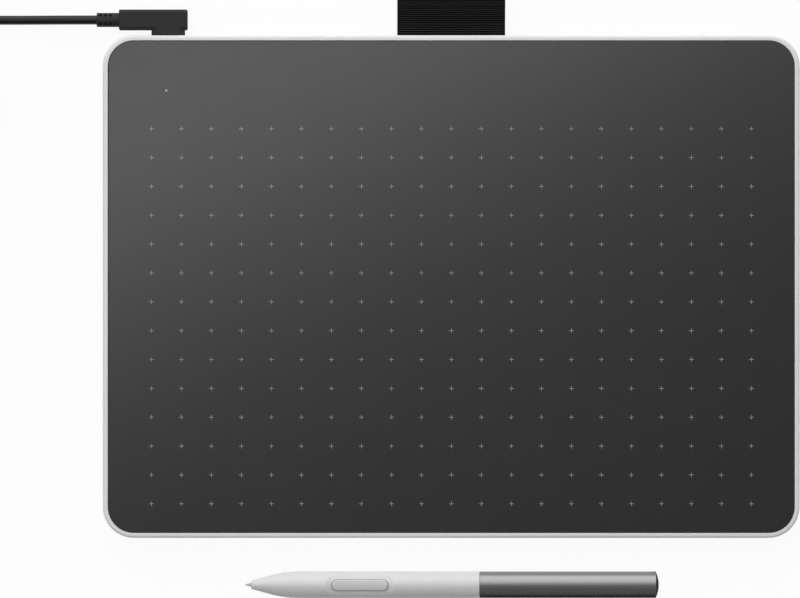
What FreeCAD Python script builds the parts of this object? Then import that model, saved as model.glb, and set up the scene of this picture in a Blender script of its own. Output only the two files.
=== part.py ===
import FreeCAD
import Part
import math
import os

# A pen tablet with its pen and its cable. Sizes are in millimetres and angles in degrees.
# +X runs to the right of the tablet, +Y to its rear edge and +Z up from the desk.
# The origin is on the desk, under the middle of the tablet.

# How far a cutting shape runs past a face, how far joined shapes overlap, and what counts as level
over = 1.0
sink = 0.1
level_within = 1e-4
straight_within = 1e-7

# Clearances of screws in their holes
thread_gap = 0.05
screw_gap = 0.2
head_gap = 0.1
hole_end_gap = 0.1

# Tablet casing
tablet_width = 251.0
tablet_depth = 181.0
corner_radius = 11.2
rim_width = 1.8
rim_round = 1.0
rim_drop = 0.15
belly_round = 3.0
floor_thickness = 1.4
ledge_width = 1.2
seam_gap = 0.2
top_case_thickness = 1.5
sheet_thickness = 0.6
sheet_bevel = 0.2

# Feet, label and the screws under the feet
foot_stand = 0.8
foot_radius = 5.5
foot_inset = 10.0
foot_recess = 0.4
foot_edge_round = 0.3
foot_gap = 0.15
label_length = 60.0
label_depth = 18.0
label_thickness = 0.2
label_recess = 0.25
label_gap = 0.2
label_corner_radius = 2.0
case_screw_radius = 1.0
case_screw_head_radius = 1.9
case_screw_head_height = 1.1
case_screw_reach = 3.2
floor_boss_radius = 3.5
floor_boss_height = 1.2
case_boss_radius = 2.75
case_boss_bore = 0.75

# Snap tabs between top case and back cover
tab_length = 10.0
tab_thickness = 1.0
tab_height = 2.4
tab_gap = 0.1
barb_reach = 0.45
barb_height = 0.8
barb_gap = 0.3
front_tab_count = 4
side_tab_count = 2
rear_tab_gap = 1.0
rear_end_tab_inset = 25.0

# Sensing stack
side_margin = 17.5
front_margin = 12.4
rear_margin = 33.6
sensor_border = 2.0
sensor_thickness = 0.8
shield_inset = 1.0
shield_thickness = 0.3
rib_thickness = 1.0
rib_gap = 0.2
rib_count = 5
foam_depth = 10.0
foam_inset = 10.0

# Main board in the strip behind the sensor
board_left_margin = 4.0
board_depth = 24.0
board_thickness = 1.0
board_corner_radius = 1.0
standoff_height = 1.0
standoff_radius = 2.2
board_wall_gap = 0.5
board_screw_radius = 0.8
board_screw_reach = 1.8
board_screw_head_radius = 1.5
board_screw_head_height = 0.7
board_screw_inset = 3.2
controller_gap = 11.77
controller_size = 7.0
controller_height = 0.9
radio_inset = 6.0
radio_length = 12.0
radio_depth = 9.0
radio_height = 1.3
radio_corner_radius = 0.6

# Ribbon from sensor to board
ribbon_width = 14.0
ribbon_thickness = 0.3
ribbon_place = 42.5
connector_margin = 1.5
connector_depth = 3.6
connector_cover = 0.4
sensor_connector_inset = 3.0
shield_notch_gap = 1.0

# Status light
light_side_inset = 5.4
light_rear_inset = 19.9
light_tip_radius = 0.4
light_pipe_radius = 1.0
light_flange_radius = 1.6
light_flange_height = 0.6
light_fit = 0.05
led_length = 1.6
led_depth = 0.8
led_height = 0.55

# Cable socket in the rear edge
socket_side_inset = 23.5
socket_floor_gap = 0.22
socket_head_gap = 0.32
socket_width = 8.94
socket_height = 3.16
socket_wall = 0.3
socket_length = 7.35
socket_recess = 0.2
socket_gap = 0.15
tongue_width = 6.69
tongue_thickness = 0.7
tongue_length = 4.45
tongue_root = 0.5
tongue_fit = 0.05

# Power button in the rear edge
button_place = 18.0
button_length = 8.0
button_height = 2.4
button_recess = 0.15
button_gap = 0.15
button_travel = 0.4
button_flange_side = 1.0
button_flange_rise = 0.25
button_flange_corner = 0.4
button_flange_thickness = 0.8
button_flange_gap = 0.1
button_stem_width = 1.6
button_stem_height = 1.0
button_stem_length = 0.9
button_notch_gap = 1.0
switch_length = 4.6
switch_depth = 3.2
switch_height = 1.3
switch_overhang = 0.2
plunger_radius = 0.35
plunger_fit = 0.05
plunger_reach = 0.8
plunger_inside = 0.6

# Battery beside the pen loop
battery_left_gap = 9.5
battery_right_gap = 6.0
battery_rear_gap = 2.4
battery_depth = 22.0
battery_thickness = 3.0
battery_corner_radius = 1.5
battery_round = 0.8
lead_radius = 0.5
lead_spacing = 2.0
lead_sag = 1.2
lead_lift = 0.2
battery_connector_length = 4.0
battery_connector_depth = 5.0
battery_connector_height = 1.2
battery_connector_overhang = 1.0

# Pen loop of ribbed webbing
loop_width = 38.9
loop_reach = 21.74
loop_thickness = 1.0
loop_height = 7.1
loop_lift = 0.5
loop_neck = 1.0
loop_spread = 12.5
loop_tail = 10.0
loop_throat = 0.3
pedestal_height = 0.2
slot_side_gap = 0.3
slot_gap = 0.1
slot_corner_radius = 0.6
clamp_depth = 6.0
clamp_corner_radius = 1.5
clamp_head_room = 0.3
clamp_overhang = 5.2
clamp_screw_inset = 2.4
clamp_screw_radius = 0.8
clamp_screw_reach = 2.6
clamp_head_radius = 1.4
clamp_head_height = 0.5
clamp_boss_radius = 2.1

# Pen casing, measured along the pen from its tip
pen_length = 149.0
pen_radius = 4.79
pen_tip_x = -74.2
pen_y = -107.45
pen_wall = 0.94
nose_mouth = 2.05
nose_mouth_radius = 1.5
nose_half_angle = 15.5
nose_blend_radius = 40.0
nose_edge_round = 0.3
nose_wall = 1.0
pen_seam = 84.3
pen_seam_gap = 0.1
rear_wall = 0.84
rear_dome = 1.1
rear_end_wall = 1.2

# Nib and what feels it
nib_radius = 0.8
nib_tip_radius = 0.3
nib_cone = 2.4
nib_length = 23.0
nib_gap = 0.12
nib_travel = 0.5
nib_grip = 2.5
nib_stop = 2.0
nib_holder_radius = 1.5
nib_holder_fit = 0.01
stub_radius = 0.7
stub_length = 1.4
stub_gap = 0.1
ferrite_radius = 1.9
ferrite_bore_gap = 0.2
core_gap = 0.3
core_end_gap = 1.0
winding_thickness = 0.65
winding_fit = 0.02
winding_end_gap = 2.5
capsule_gap = 0.3
capsule_length = 4.5
capsule_radius = 2.7
capsule_fit = 0.05

# Carrier inside the pen
chassis_core_overlap = 2.0
chassis_step_gap = 0.4
chassis_fit = 0.1
chassis_flat_drop = 0.6
chassis_trough_gap = 0.2
bulkhead_length = 4.3
spigot_gap = 0.2
pen_board_gap = 1.0
pen_board_width = 4.8
pen_board_thickness = 0.8
pen_chip_offset = 20.7
pen_chip_size = 3.6
pen_chip_height = 0.8
friction_ring_offset = 4.0
friction_ring_radius = 0.5
friction_ring_gap = 0.04
groove_gap = 0.05

# Store for spare nibs under the rear case
spare_nib_gap = 5.0
rack_length = 12.0
rack_gap = 0.55
rack_wall = 0.55
rack_stub_radius = 1.5
rack_stub_length = 3.0
rack_bore_gap = 0.1
rack_bore_depth = 10.0
spare_nib_count = 3

# Side switch, a rocker on top of the pen
rocker_offset = 10.8
rocker_length = 20.2
rocker_width = 4.0
rocker_gap = 0.2
rocker_side_gap = 0.1
rocker_proud = 0.4
rocker_dip = 0.3
rocker_edge_round = 0.5
rocker_shell = 1.6
rocker_tilt = 2.2
rocker_foot_place = 7.3
rocker_foot_length = 2.4
rocker_foot_inset = 0.6
rocker_pin_radius = 0.5
rocker_pin_height = 1.25
rocker_pin_fit = 0.03
rocker_hub_radius = 0.9
rocker_hub_width = 2.0
halo_radius = 7.0
halo_depth = 0.5
halo_margin = 0.2
halo_ramp = 1.8
ear_gap = 0.15
ear_thickness = 0.6
ear_length = 2.6
ear_cap = 0.2
ear_hole_fit = 0.01
ear_board_gap = 0.15
tact_length = 3.0
tact_width = 2.6
tact_height = 1.0
tact_dome_radius = 0.6
tact_dome_height = 0.3
tact_gap = 0.05

# Angled plug in the tablet's socket
insert_width = 8.25
insert_height = 2.4
insert_wall = 0.25
insert_length = 6.65
insert_root = 1.0
neck_width = 12.1
neck_round = 2.45
neck_front_round = 0.45
neck_length = 1.95
neck_overlap = 3.0
body_length = 24.65
body_depth = 7.4
body_height = 6.6
body_overhang = 0.9
body_round = 1.3
body_end_round = 0.45
sleeve_radius = 2.55
sleeve_length = 8.1
sleeve_edge = 0.25
sleeve_row_count = 3
sleeve_slot_width = 1.1
sleeve_slot_pitch = 1.8
sleeve_slot_start = 0.9
sleeve_slot_depth = 0.75
sleeve_slot_lean = 37.0
sleeve_slot_span = 40.0

# Cable, wound up beyond the plug
cable_radius = 1.65
cable_lift = 0.1
cable_arc_share = 0.45
cable_run_length = 64.6
cable_tail_length = 49.5
coil_mean_radius = 19.6
coil_gap = 0.6
coil_layers = 4
coil_layer_turns = 2.4375
coil_reversal_turns = 0.5
coil_end_length = 3.3
coil_start_turn = 0.25
coil_samples = 48
small_turn = 1e-4
tie_thickness = 0.6
tie_width = 8.0
tie_gap = 0.15

# Plug at the computer's end
computer_body_length = 24.0
computer_body_width = 15.6
computer_body_height = 7.6
computer_body_round = 1.6
computer_shell_width = 12.0
computer_shell_height = 4.5
computer_shell_wall = 0.3
computer_shell_length = 12.0
computer_shell_corner = 0.6
computer_window_size = 2.2
computer_window_spacing = 5.4
computer_window_place = 6.0
computer_tongue_height = 1.9
computer_tongue_inset = 0.6
computer_tongue_gap = 0.35
contact_count = 4
contact_pitch = 2.4
contact_width = 1.1
contact_length = 7.5
contact_thickness = 0.12
contact_inset = 0.6

# Heights of the tablet that follow from the sizes above
cover_bottom = foot_stand
floor_top = cover_bottom + floor_thickness
socket_z = floor_top + socket_floor_gap + socket_height / 2
ledge_height = socket_z + socket_height / 2 + socket_head_gap
sheet_bottom = ledge_height + top_case_thickness
surface_height = sheet_bottom + sheet_thickness
rim_top = surface_height - rim_drop
foot_top = cover_bottom + foot_recess
screw_bearing = foot_top + head_gap + case_screw_head_height
floor_boss_top = floor_top + floor_boss_height
sensor_bottom = ledge_height - sensor_thickness
shield_bottom = sensor_bottom - shield_thickness
board_bottom = floor_top + standoff_height
board_top = board_bottom + board_thickness
ribbon_level = (sensor_bottom + board_top) / 2
button_z = (floor_top + ledge_height) / 2
switch_middle = board_top + switch_height / 2
pedestal_top = floor_top + pedestal_height
slot_z = pedestal_top + loop_thickness
clamp_bottom = slot_z + loop_thickness
clamp_top = ledge_height - clamp_head_room

# Places across the tablet
half_width = tablet_width / 2
rear_face = tablet_depth / 2
wall_thickness = rim_width + ledge_width
rear_wall_inside = rear_face - wall_thickness
foot_x = half_width - foot_inset
foot_y = rear_face - foot_inset
foot_places = [(x, y) for x in (-foot_x, foot_x) for y in (-foot_y, foot_y)]
active_width = tablet_width - 2 * side_margin
active_depth = tablet_depth - front_margin - rear_margin
active_shift = (front_margin - rear_margin) / 2
sensor_width = active_width + 2 * sensor_border
sensor_depth = active_depth + 2 * sensor_border
sensor_rear = active_shift + sensor_depth / 2
clamp_half = loop_width / 2 + clamp_overhang
rear_tab_x = clamp_half + rear_tab_gap + tab_length / 2
socket_x = -half_width + socket_side_inset
socket_front = rear_face - socket_recess
socket_back = socket_front - socket_length
button_x = socket_x + button_place
light_x = -active_width / 2 + light_side_inset
light_y = rear_face - light_rear_inset
board_left = socket_x - socket_width / 2 - board_left_margin
board_right = -rear_tab_x - tab_length / 2 - rear_tab_gap
board_rear = rear_wall_inside - board_wall_gap
board_front = board_rear - board_depth
board_y = (board_front + board_rear) / 2
radio_x = board_right - radio_inset - radio_length / 2
ribbon_x = board_left + ribbon_place
connector_half = ribbon_width / 2 + connector_margin
sensor_connector_front = sensor_rear - sensor_connector_inset - connector_depth
button_flange_rear = rear_wall_inside - button_flange_gap
button_flange_front = button_flange_rear - button_flange_thickness
button_end = button_flange_front - button_stem_length
switch_face = button_end - plunger_reach
battery_left = clamp_half + battery_left_gap
battery_right = foot_x - floor_boss_radius - battery_right_gap
battery_y = rear_wall_inside - battery_rear_gap - battery_depth / 2
battery_plug_right = board_right + battery_connector_overhang
battery_plug_left = battery_plug_right - battery_connector_length
loop_end = rear_face + loop_reach
loop_tail_start = rear_face - loop_tail

# Places along the pen and radii inside it
pen_bore_radius = pen_radius - pen_wall
rear_bore_radius = pen_radius - rear_wall
chassis_radius = pen_bore_radius - chassis_fit
spigot_radius = rear_bore_radius - spigot_gap
nose_angle = math.radians(nose_half_angle)
nose_slope = math.tan(nose_angle)
nose_corner = nose_mouth + (pen_radius - nose_mouth_radius) / nose_slope
nose_inner_offset = nose_wall / math.cos(nose_angle) - nose_mouth_radius
nib_hole_radius = nib_radius + nib_gap
winding_radius = ferrite_radius + winding_thickness
holder_start = nib_length - nib_grip
holder_end = nib_length + nib_stop
ferrite_start = nose_mouth + (ferrite_radius + core_gap + nose_inner_offset) / nose_slope
ferrite_end = holder_start - core_end_gap
winding_start = nose_mouth + (winding_radius + core_gap + nose_inner_offset) / nose_slope
winding_end = ferrite_end - winding_end_gap
chassis_start = ferrite_end - chassis_core_overlap
chassis_step = ferrite_end + chassis_step_gap
capsule_start = holder_end + nib_travel + capsule_gap
capsule_end = capsule_start + capsule_length
trough_start = capsule_end + chassis_trough_gap
bulkhead_start = pen_seam - bulkhead_length
board_flat = -chassis_flat_drop
pen_board_top = board_flat + pen_board_thickness
pen_board_start = trough_start + pen_board_gap
pen_board_end = bulkhead_start - pen_board_gap
rocker_place = trough_start + rocker_offset
halo_axis = pen_radius - halo_depth - halo_radius
pen_chip_place = rocker_place + pen_chip_offset
tact_top = pen_board_top + tact_height + tact_dome_height
rear_cavity_end = pen_length - rear_dome - rear_end_wall
rack_end = rear_cavity_end - spare_nib_gap - nib_length + rack_bore_depth
rack_start = rack_end - rack_length
rack_radius = rear_bore_radius - rack_gap
rack_bore_radius = nib_radius + rack_bore_gap
rack_bore_circle = rack_radius - rack_bore_radius - rack_wall
friction_ring_place = pen_seam + friction_ring_offset
friction_ring_circle = rear_bore_radius - friction_ring_gap - friction_ring_radius

# Places of the cable and its plugs
plug_front = rear_face + neck_length
plug_right = socket_x + neck_width / 2 + body_overhang
plug_left = plug_right - body_length
cable_y = plug_front + body_depth / 2
cable_start_x = plug_left - sleeve_length
coil_pitch = 2 * cable_radius + coil_gap
coil_half_build = coil_pitch * coil_layer_turns / 2
coil_outer_radius = coil_mean_radius + coil_half_build
coil_inner_radius = coil_mean_radius - coil_half_build
coil_turns = coil_layers * coil_layer_turns + (coil_layers - 1) * coil_reversal_turns
coil_x = cable_start_x - cable_run_length
coil_y = cable_y - coil_outer_radius
coil_z = cable_radius + tie_thickness + tie_gap
coil_top_z = coil_z + (coil_layers - 1) * coil_pitch
tail_x = coil_x - coil_outer_radius
tail_y = coil_y - coil_end_length
computer_plug_z = computer_body_height / 2
computer_plug_y = tail_y - cable_tail_length
computer_body_rear = computer_plug_y - sleeve_length
computer_body_front = computer_body_rear - computer_body_length
computer_shell_end = computer_body_front - computer_shell_length
computer_tongue_top = computer_plug_z + computer_shell_height / 2 - computer_shell_wall
cable_on_desk = cable_radius + cable_lift

# Route of the cable from the angled plug to the coil, chosen by hand
run_route = (
    (cable_start_x, cable_y, socket_z),
    (cable_start_x - 11.0, cable_y, socket_z),
    (cable_start_x - 25.5, cable_y - 0.2, cable_on_desk),
    (cable_start_x - 40.5, cable_y + 0.3, cable_on_desk),
    (cable_start_x - 53.0, cable_y, coil_z),
    (coil_x + coil_end_length, cable_y, coil_z),
)

# Route of the cable from the top of the coil down to the computer's plug, chosen by hand
tail_route = (
    (tail_x, tail_y, coil_top_z),
    (tail_x, tail_y - 7.0, coil_top_z),
    (tail_x - 0.4, tail_y - 18.0, 11.2),
    (tail_x + 0.3, tail_y - 30.0, 5.6),
    (tail_x, tail_y - 40.0, computer_plug_z),
    (tail_x, computer_plug_y, computer_plug_z),
)


def at(x, y, z):
    """A point."""
    return FreeCAD.Vector(x, y, z)


ORIGIN = at(0, 0, 0)
X_AXIS = at(1, 0, 0)
Y_AXIS = at(0, 1, 0)
Z_AXIS = at(0, 0, 1)


def block(x, y, z):
    """A box from pairs of low and high values."""
    return Part.makeBox(x[1] - x[0], y[1] - y[0], z[1] - z[0], at(x[0], y[0], z[0]))


def rod(radius, start, end):
    """A cylinder between two points."""
    return Part.makeCylinder(radius, (end - start).Length, start, end - start)


def upright(radius, place, low, high):
    """A cylinder that stands at an (x, y) place between two heights."""
    x, y = place
    return rod(radius, at(x, y, low), at(x, y, high))


def fuse(shapes):
    """One solid out of several that touch."""
    return shapes[0].multiFuse(shapes[1:]).removeSplitter()


def rounded_outline(width, height, radius):
    """A rectangle with round corners in the XY plane, about the origin."""
    half_x = width / 2
    half_y = height / 2
    radius = min(radius, half_x, half_y)
    arcs = []
    for side_x, side_y, turn in ((1, 1, 0), (-1, 1, 90), (-1, -1, 180), (1, -1, 270)):
        centre = at(side_x * (half_x - radius), side_y * (half_y - radius), 0)
        points = []
        for angle in (turn, turn + 90 / 2, turn + 90):
            step = at(math.cos(math.radians(angle)), math.sin(math.radians(angle)), 0)
            points.append(centre + step * radius)
        arcs.append(Part.Arc(*points).toShape())
    edges = []
    for place, arc in enumerate(arcs):
        edges.append(arc)
        start = arc.lastVertex(True).Point
        end = arcs[(place + 1) % 4].firstVertex(True).Point
        if (end - start).Length > level_within:
            edges.append(Part.LineSegment(start, end).toShape())
    return Part.Wire(Part.__sortEdges__(edges))


def rounded_plate(width, depth, radius, low, high, x=0.0, y=0.0):
    """A flat plate with round corners, between two heights."""
    face = Part.Face(rounded_outline(width, depth, radius))
    face.translate(at(x, y, low))
    return face.extrude(at(0, 0, high - low))


def bar_along_y(width, height, radius, start, end, x, z):
    """A bar of rounded section that runs along Y."""
    face = Part.Face(rounded_outline(width, height, radius))
    face.rotate(ORIGIN, X_AXIS, 90)
    face.translate(at(x, start, z))
    return face.extrude(at(0, end - start, 0))


def casing_plate(inset, low, high):
    """A plate that follows the tablet's outline, drawn in by an inset."""
    width = tablet_width - 2 * inset
    depth = tablet_depth - 2 * inset
    return rounded_plate(width, depth, max(corner_radius - inset, sink), low, high)


def edges_at_height(shape, height):
    """The edges that lie in one level plane."""
    found = []
    for edge in shape.Edges:
        box = edge.BoundBox
        if abs(box.ZMin - height) < level_within and abs(box.ZMax - height) < level_within:
            found.append(edge)
    return found


def arc_through(start, tangent, end):
    """An arc from start, leaving along tangent, to end; a line where it is straight."""
    chord = end - start
    direction = FreeCAD.Vector(tangent)
    direction.normalize()
    along = chord.dot(direction)
    across = chord - direction * along
    if across.Length < straight_within:
        return Part.LineSegment(start, end).toShape()
    radius = chord.Length ** 2 / (2 * across.Length)
    side = FreeCAD.Vector(across)
    side.normalize()
    centre = start + side * radius
    half_turn = math.atan2(across.Length, along)
    middle = centre - side * radius * math.cos(half_turn) + direction * radius * math.sin(half_turn)
    return Part.Arc(start, middle, end).toShape()


def biarc(start, start_tangent, end, end_tangent):
    """Two arcs that join two points and keep both directions."""
    chord = end - start
    both = start_tangent + end_tangent
    bend = 2 * (1 - start_tangent.dot(end_tangent))
    if bend < straight_within ** 2:
        reach = chord.dot(chord) / (4 * chord.dot(end_tangent))
    else:
        share = chord.dot(both)
        reach = (math.sqrt(share ** 2 + bend * chord.dot(chord)) - share) / bend
    middle = (start + start_tangent * reach + end - end_tangent * reach) * 0.5
    first = arc_through(start, start_tangent, middle)
    second = arc_through(end, end_tangent * -1, middle)
    return [first, second]


def tube(edges, radius, start, tangent):
    """A round bar that follows joined edges, with its length."""
    spine = Part.Wire(edges)
    section = Part.Wire(Part.Circle(start, tangent, radius).toShape())
    sweep = Part.BRepOffsetAPI.MakePipeShell(spine)
    sweep.add(section)
    sweep.build()
    sweep.makeSolid()
    return sweep.shape(), spine.Length


def rounded_route(route, name):
    """Straight runs between points, joined by arcs as large as the runs allow."""
    points = [at(*point) for point in route]
    lengths = [(b - a).Length for a, b in zip(points, points[1:])]
    edges = []
    start = points[0]
    for place in range(1, len(points) - 1):
        before = points[place] - points[place - 1]
        after = points[place + 1] - points[place]
        turn = before.getAngle(after)
        back = cable_arc_share * min(lengths[place - 1], lengths[place])
        before.normalize()
        after.normalize()
        arc_start = points[place] - before * back
        arc_end = points[place] + after * back
        edges.append(Part.LineSegment(start, arc_start).toShape())
        edges.append(arc_through(arc_start, before, arc_end))
        start = arc_end
        radius = back / math.tan(turn / 2)
        print(f"{name} bend {place}: turn {math.degrees(turn):.1f}, radius {radius:.0f}")
    edges.append(Part.LineSegment(start, points[-1]).toShape())
    return edges, points[0], points[1] - points[0]


def coil_place(turns):
    """Radius and height of the wound cable's middle line, a number of turns from its start."""
    stretch = coil_layer_turns + coil_reversal_turns
    layer = min(int(turns / stretch), coil_layers - 1)
    within = turns - layer * stretch
    inward = layer % 2 == 0
    begin = coil_outer_radius if inward else coil_inner_radius
    step = -coil_pitch if inward else coil_pitch
    if within <= coil_layer_turns or layer == coil_layers - 1:
        return begin + step * within, coil_z + layer * coil_pitch
    share = (within - coil_layer_turns) / coil_reversal_turns
    climb = share - math.sin(2 * math.pi * share) / (2 * math.pi)
    swell = step * coil_reversal_turns / math.pi * math.sin(math.pi * share)
    return begin + step * coil_layer_turns + swell, coil_z + (layer + climb) * coil_pitch


def coil_point(turns):
    """A point on the wound cable's middle line."""
    radius, height = coil_place(turns)
    angle = 2 * math.pi * (turns + coil_start_turn)
    return at(coil_x + radius * math.cos(angle), coil_y + radius * math.sin(angle), height)


def coil_tangent(turns):
    """The direction of the wound cable; at its two ends it runs square to the radius."""
    if turns < small_turn or turns > coil_turns - small_turn:
        angle = 2 * math.pi * (turns + coil_start_turn)
        return at(-math.sin(angle), math.cos(angle), 0)
    step = coil_point(turns + small_turn) - coil_point(turns - small_turn)
    step.normalize()
    return step


def coil_points():
    """Points close together along the coil."""
    count = int(coil_turns * coil_samples)
    return [coil_point(coil_turns * place / count) for place in range(count + 1)]


def print_coil_gap():
    """Prints the least gap that the coil leaves to itself."""
    points = coil_points()
    apart = coil_samples // 2
    least = min((a - b).Length for place, a in enumerate(points) for b in points[place + apart:])
    print(f"coil gap to itself {least - 2 * cable_radius:.2f} mm")


def print_volume(name, shape, length):
    """Prints how near a tube's volume is to its section times its length."""
    expected = math.pi * cable_radius ** 2 * length
    print(f"{name} length {length:.1f} mm, volume share {shape.Volume / expected:.4f}")


def screw(radius, reach, head_radius, head_height, place, bearing, upward=False):
    """A pan-head screw at an (x, y) place; its head bears at one height."""
    way = 1 if upward else -1
    x, y = place
    shank = rod(radius, at(x, y, bearing - way * head_height), at(x, y, bearing + way * reach))
    head = rod(head_radius, at(x, y, bearing), at(x, y, bearing - way * head_height))
    return fuse([head, shank])


def spread(count, half_reach):
    """Places spaced evenly between minus and plus a reach."""
    pitch = 2 * half_reach / count
    return [(number + 0.5) * pitch - half_reach for number in range(count)]


def tab_frames():
    """Where each snap tab goes, as (turn about Z, point on the outer wall)."""
    rear_places = (-rear_tab_x, rear_tab_x, foot_x - rear_end_tab_inset)
    frames = [(180, (x, -rear_face)) for x in spread(front_tab_count, foot_x)]
    frames += [(0, (x, rear_face)) for x in rear_places]
    frames += [(90, (-half_width, y)) for y in spread(side_tab_count, foot_y)]
    frames += [(270, (half_width, y)) for y in spread(side_tab_count, foot_y)]
    return frames


def placed_on_wall(shape, frame):
    """Turns a shape made against the rear wall to another wall."""
    turn, place = frame
    shape = shape.copy()
    shape.rotate(ORIGIN, Z_AXIS, turn)
    shape.translate(at(place[0], place[1], 0))
    return shape


def snap_tab():
    """A tab with its barb, drawn with the outer wall face on y = 0."""
    low = ledge_height - tab_height
    face = -(wall_thickness + tab_gap)
    half = tab_length / 2
    stem = block((-half, half), (face - tab_thickness, face), (low, ledge_height))
    barb = block((-half, half), (face - tab_thickness, face + barb_reach), (low, low + barb_height))
    return fuse([stem, barb])


def tab_pocket():
    """The pocket that a tab's barb springs into."""
    low = ledge_height - tab_height
    half = tab_length / 2 + barb_gap
    deep = barb_reach - tab_gap + barb_gap
    return block(
        (-half, half), (-wall_thickness - sink, -wall_thickness + deep),
        (low - barb_gap, low + barb_height + barb_gap),
    )


def rib_places():
    """The middles of the floor ribs, evenly spaced under the sensor."""
    return [active_shift + y for y in spread(rib_count, sensor_depth / 2)]


def clamp_screw_places():
    """The two screws that hold the pen loop's clamp."""
    x = clamp_half - clamp_screw_inset
    y = loop_tail_start + clamp_depth / 2
    return [(-x, y), (x, y)]


def board_screw_places():
    """The screws that hold the main board."""
    left = board_left + board_screw_inset
    right = board_right - board_screw_inset
    front = board_front + board_screw_inset
    return [(left, front), (right, front), (right, board_rear - board_screw_inset)]


def floor_features():
    """Ribs, bosses and the loop's seat, all standing on the cover's floor."""
    low = floor_top - sink
    half_rib = sensor_width / 2
    rib_top = shield_bottom - rib_gap
    made = []
    for y in rib_places():
        across = (y - rib_thickness / 2, y + rib_thickness / 2)
        made.append(block((-half_rib, half_rib), across, (low, rib_top)))
    for place in foot_places:
        made.append(upright(floor_boss_radius, place, low, floor_boss_top))
    for place in board_screw_places():
        made.append(upright(standoff_radius, place, low, board_bottom))
    for place in clamp_screw_places():
        made.append(upright(clamp_boss_radius, place, low, clamp_bottom))
    half_loop = loop_width / 2
    seat = block(
        (-half_loop, half_loop), (loop_tail_start, rear_wall_inside + sink), (low, pedestal_top)
    )
    made.append(seat)
    return made


def rear_wall_holes():
    """The holes in the rear wall for socket, button and pen loop."""
    inside = rear_wall_inside - over
    beyond = rear_face + over
    return [
        bar_along_y(
            socket_width + 2 * socket_gap, socket_height + 2 * socket_gap, socket_height,
            inside, beyond, socket_x, socket_z,
        ),
        bar_along_y(
            button_length + 2 * button_gap, button_height + 2 * button_gap, button_height,
            inside, beyond, button_x, button_z,
        ),
        bar_along_y(
            loop_width + 2 * slot_side_gap, 2 * (loop_thickness + slot_gap), slot_corner_radius,
            inside, beyond, 0, slot_z,
        ),
    ]


def cover_holes():
    """Everything that is cut out of the back cover."""
    holes = rear_wall_holes()
    for place in foot_places:
        head_hole = case_screw_head_radius + screw_gap
        holes.append(upright(foot_radius + foot_gap, place, 0, foot_top))
        holes.append(upright(head_hole, place, 0, screw_bearing))
        holes.append(upright(case_screw_radius + thread_gap, place, 0, surface_height))
    for place in board_screw_places():
        bottom = board_bottom - board_screw_reach - hole_end_gap
        holes.append(upright(board_screw_radius + thread_gap, place, bottom, surface_height))
    for place in clamp_screw_places():
        bottom = clamp_bottom - clamp_screw_reach - hole_end_gap
        holes.append(upright(clamp_screw_radius + thread_gap, place, bottom, surface_height))
    for frame in tab_frames():
        holes.append(placed_on_wall(tab_pocket(), frame))
    holes.append(
        rounded_plate(
            label_length + 2 * label_gap, label_depth + 2 * label_gap,
            label_corner_radius + label_gap, 0, cover_bottom + label_recess,
        )
    )
    return holes


def back_cover():
    """The pale tray: floor, walls and the rim that shows round the drawing sheet."""
    tray = casing_plate(0, cover_bottom, rim_top)
    tray = tray.makeFillet(rim_round, edges_at_height(tray, rim_top))
    tray = tray.makeFillet(belly_round, edges_at_height(tray, cover_bottom))
    inside = casing_plate(wall_thickness, floor_top, ledge_height + over)
    opening = casing_plate(rim_width, ledge_height, surface_height + over)
    tray = tray.cut([inside, opening])
    return fuse([tray] + floor_features()).cut(cover_holes())


def top_case():
    """The dark plate under the drawing sheet, with its screw bosses and snap tabs."""
    parts = [casing_plate(rim_width + seam_gap, ledge_height, sheet_bottom)]
    bores = [upright(light_pipe_radius + light_fit, (light_x, light_y), 0, surface_height)]
    for frame in tab_frames():
        parts.append(placed_on_wall(snap_tab(), frame))
    for place in foot_places:
        bore_top = ledge_height + case_boss_bore
        parts.append(upright(case_boss_radius, place, floor_boss_top, ledge_height))
        bores.append(upright(case_screw_radius + thread_gap, place, 0, bore_top))
    return fuse(parts).cut(bores)


def drawing_sheet():
    """The textured dark sheet that the pen is used on."""
    sheet = casing_plate(rim_width + seam_gap, sheet_bottom, surface_height)
    sheet = sheet.makeChamfer(sheet_bevel, edges_at_height(sheet, surface_height))
    hole_radius = light_tip_radius + light_fit
    return sheet.cut(upright(hole_radius, (light_x, light_y), 0, surface_height + over))


def rubber_feet():
    """Four round feet, glued into recesses that also hide the case screws."""
    feet = []
    for place in foot_places:
        foot = upright(foot_radius, place, 0, foot_top)
        feet.append(foot.makeFillet(foot_edge_round, edges_at_height(foot, 0)))
    return Part.Compound(feet)


def rating_label():
    """A bare label in its recess on the underside."""
    top = cover_bottom + label_recess
    return rounded_plate(
        label_length, label_depth, label_corner_radius, top - label_thickness, top
    )


def case_screws():
    """The screws that come up through the cover into the top case."""
    screws = []
    for place in foot_places:
        screws.append(
            screw(
                case_screw_radius, case_screw_reach, case_screw_head_radius,
                case_screw_head_height, place, screw_bearing, upward=True,
            )
        )
    return Part.Compound(screws)


def sensor_board():
    """The large board that senses the pen, glued under the top case."""
    return rounded_plate(
        sensor_width, sensor_depth, board_corner_radius, sensor_bottom, ledge_height,
        0, active_shift,
    )


def shield_plate():
    """The thin metal sheet behind the sensor, notched for the ribbon's connector."""
    plate = rounded_plate(
        sensor_width - 2 * shield_inset, sensor_depth - 2 * shield_inset, board_corner_radius,
        shield_bottom, sensor_bottom, 0, active_shift,
    )
    half = connector_half + shield_notch_gap
    front = sensor_connector_front - shield_notch_gap
    notch = block(
        (ribbon_x - half, ribbon_x + half), (front, sensor_rear + over),
        (shield_bottom - over, sensor_bottom + over),
    )
    return plate.cut(notch)


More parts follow.
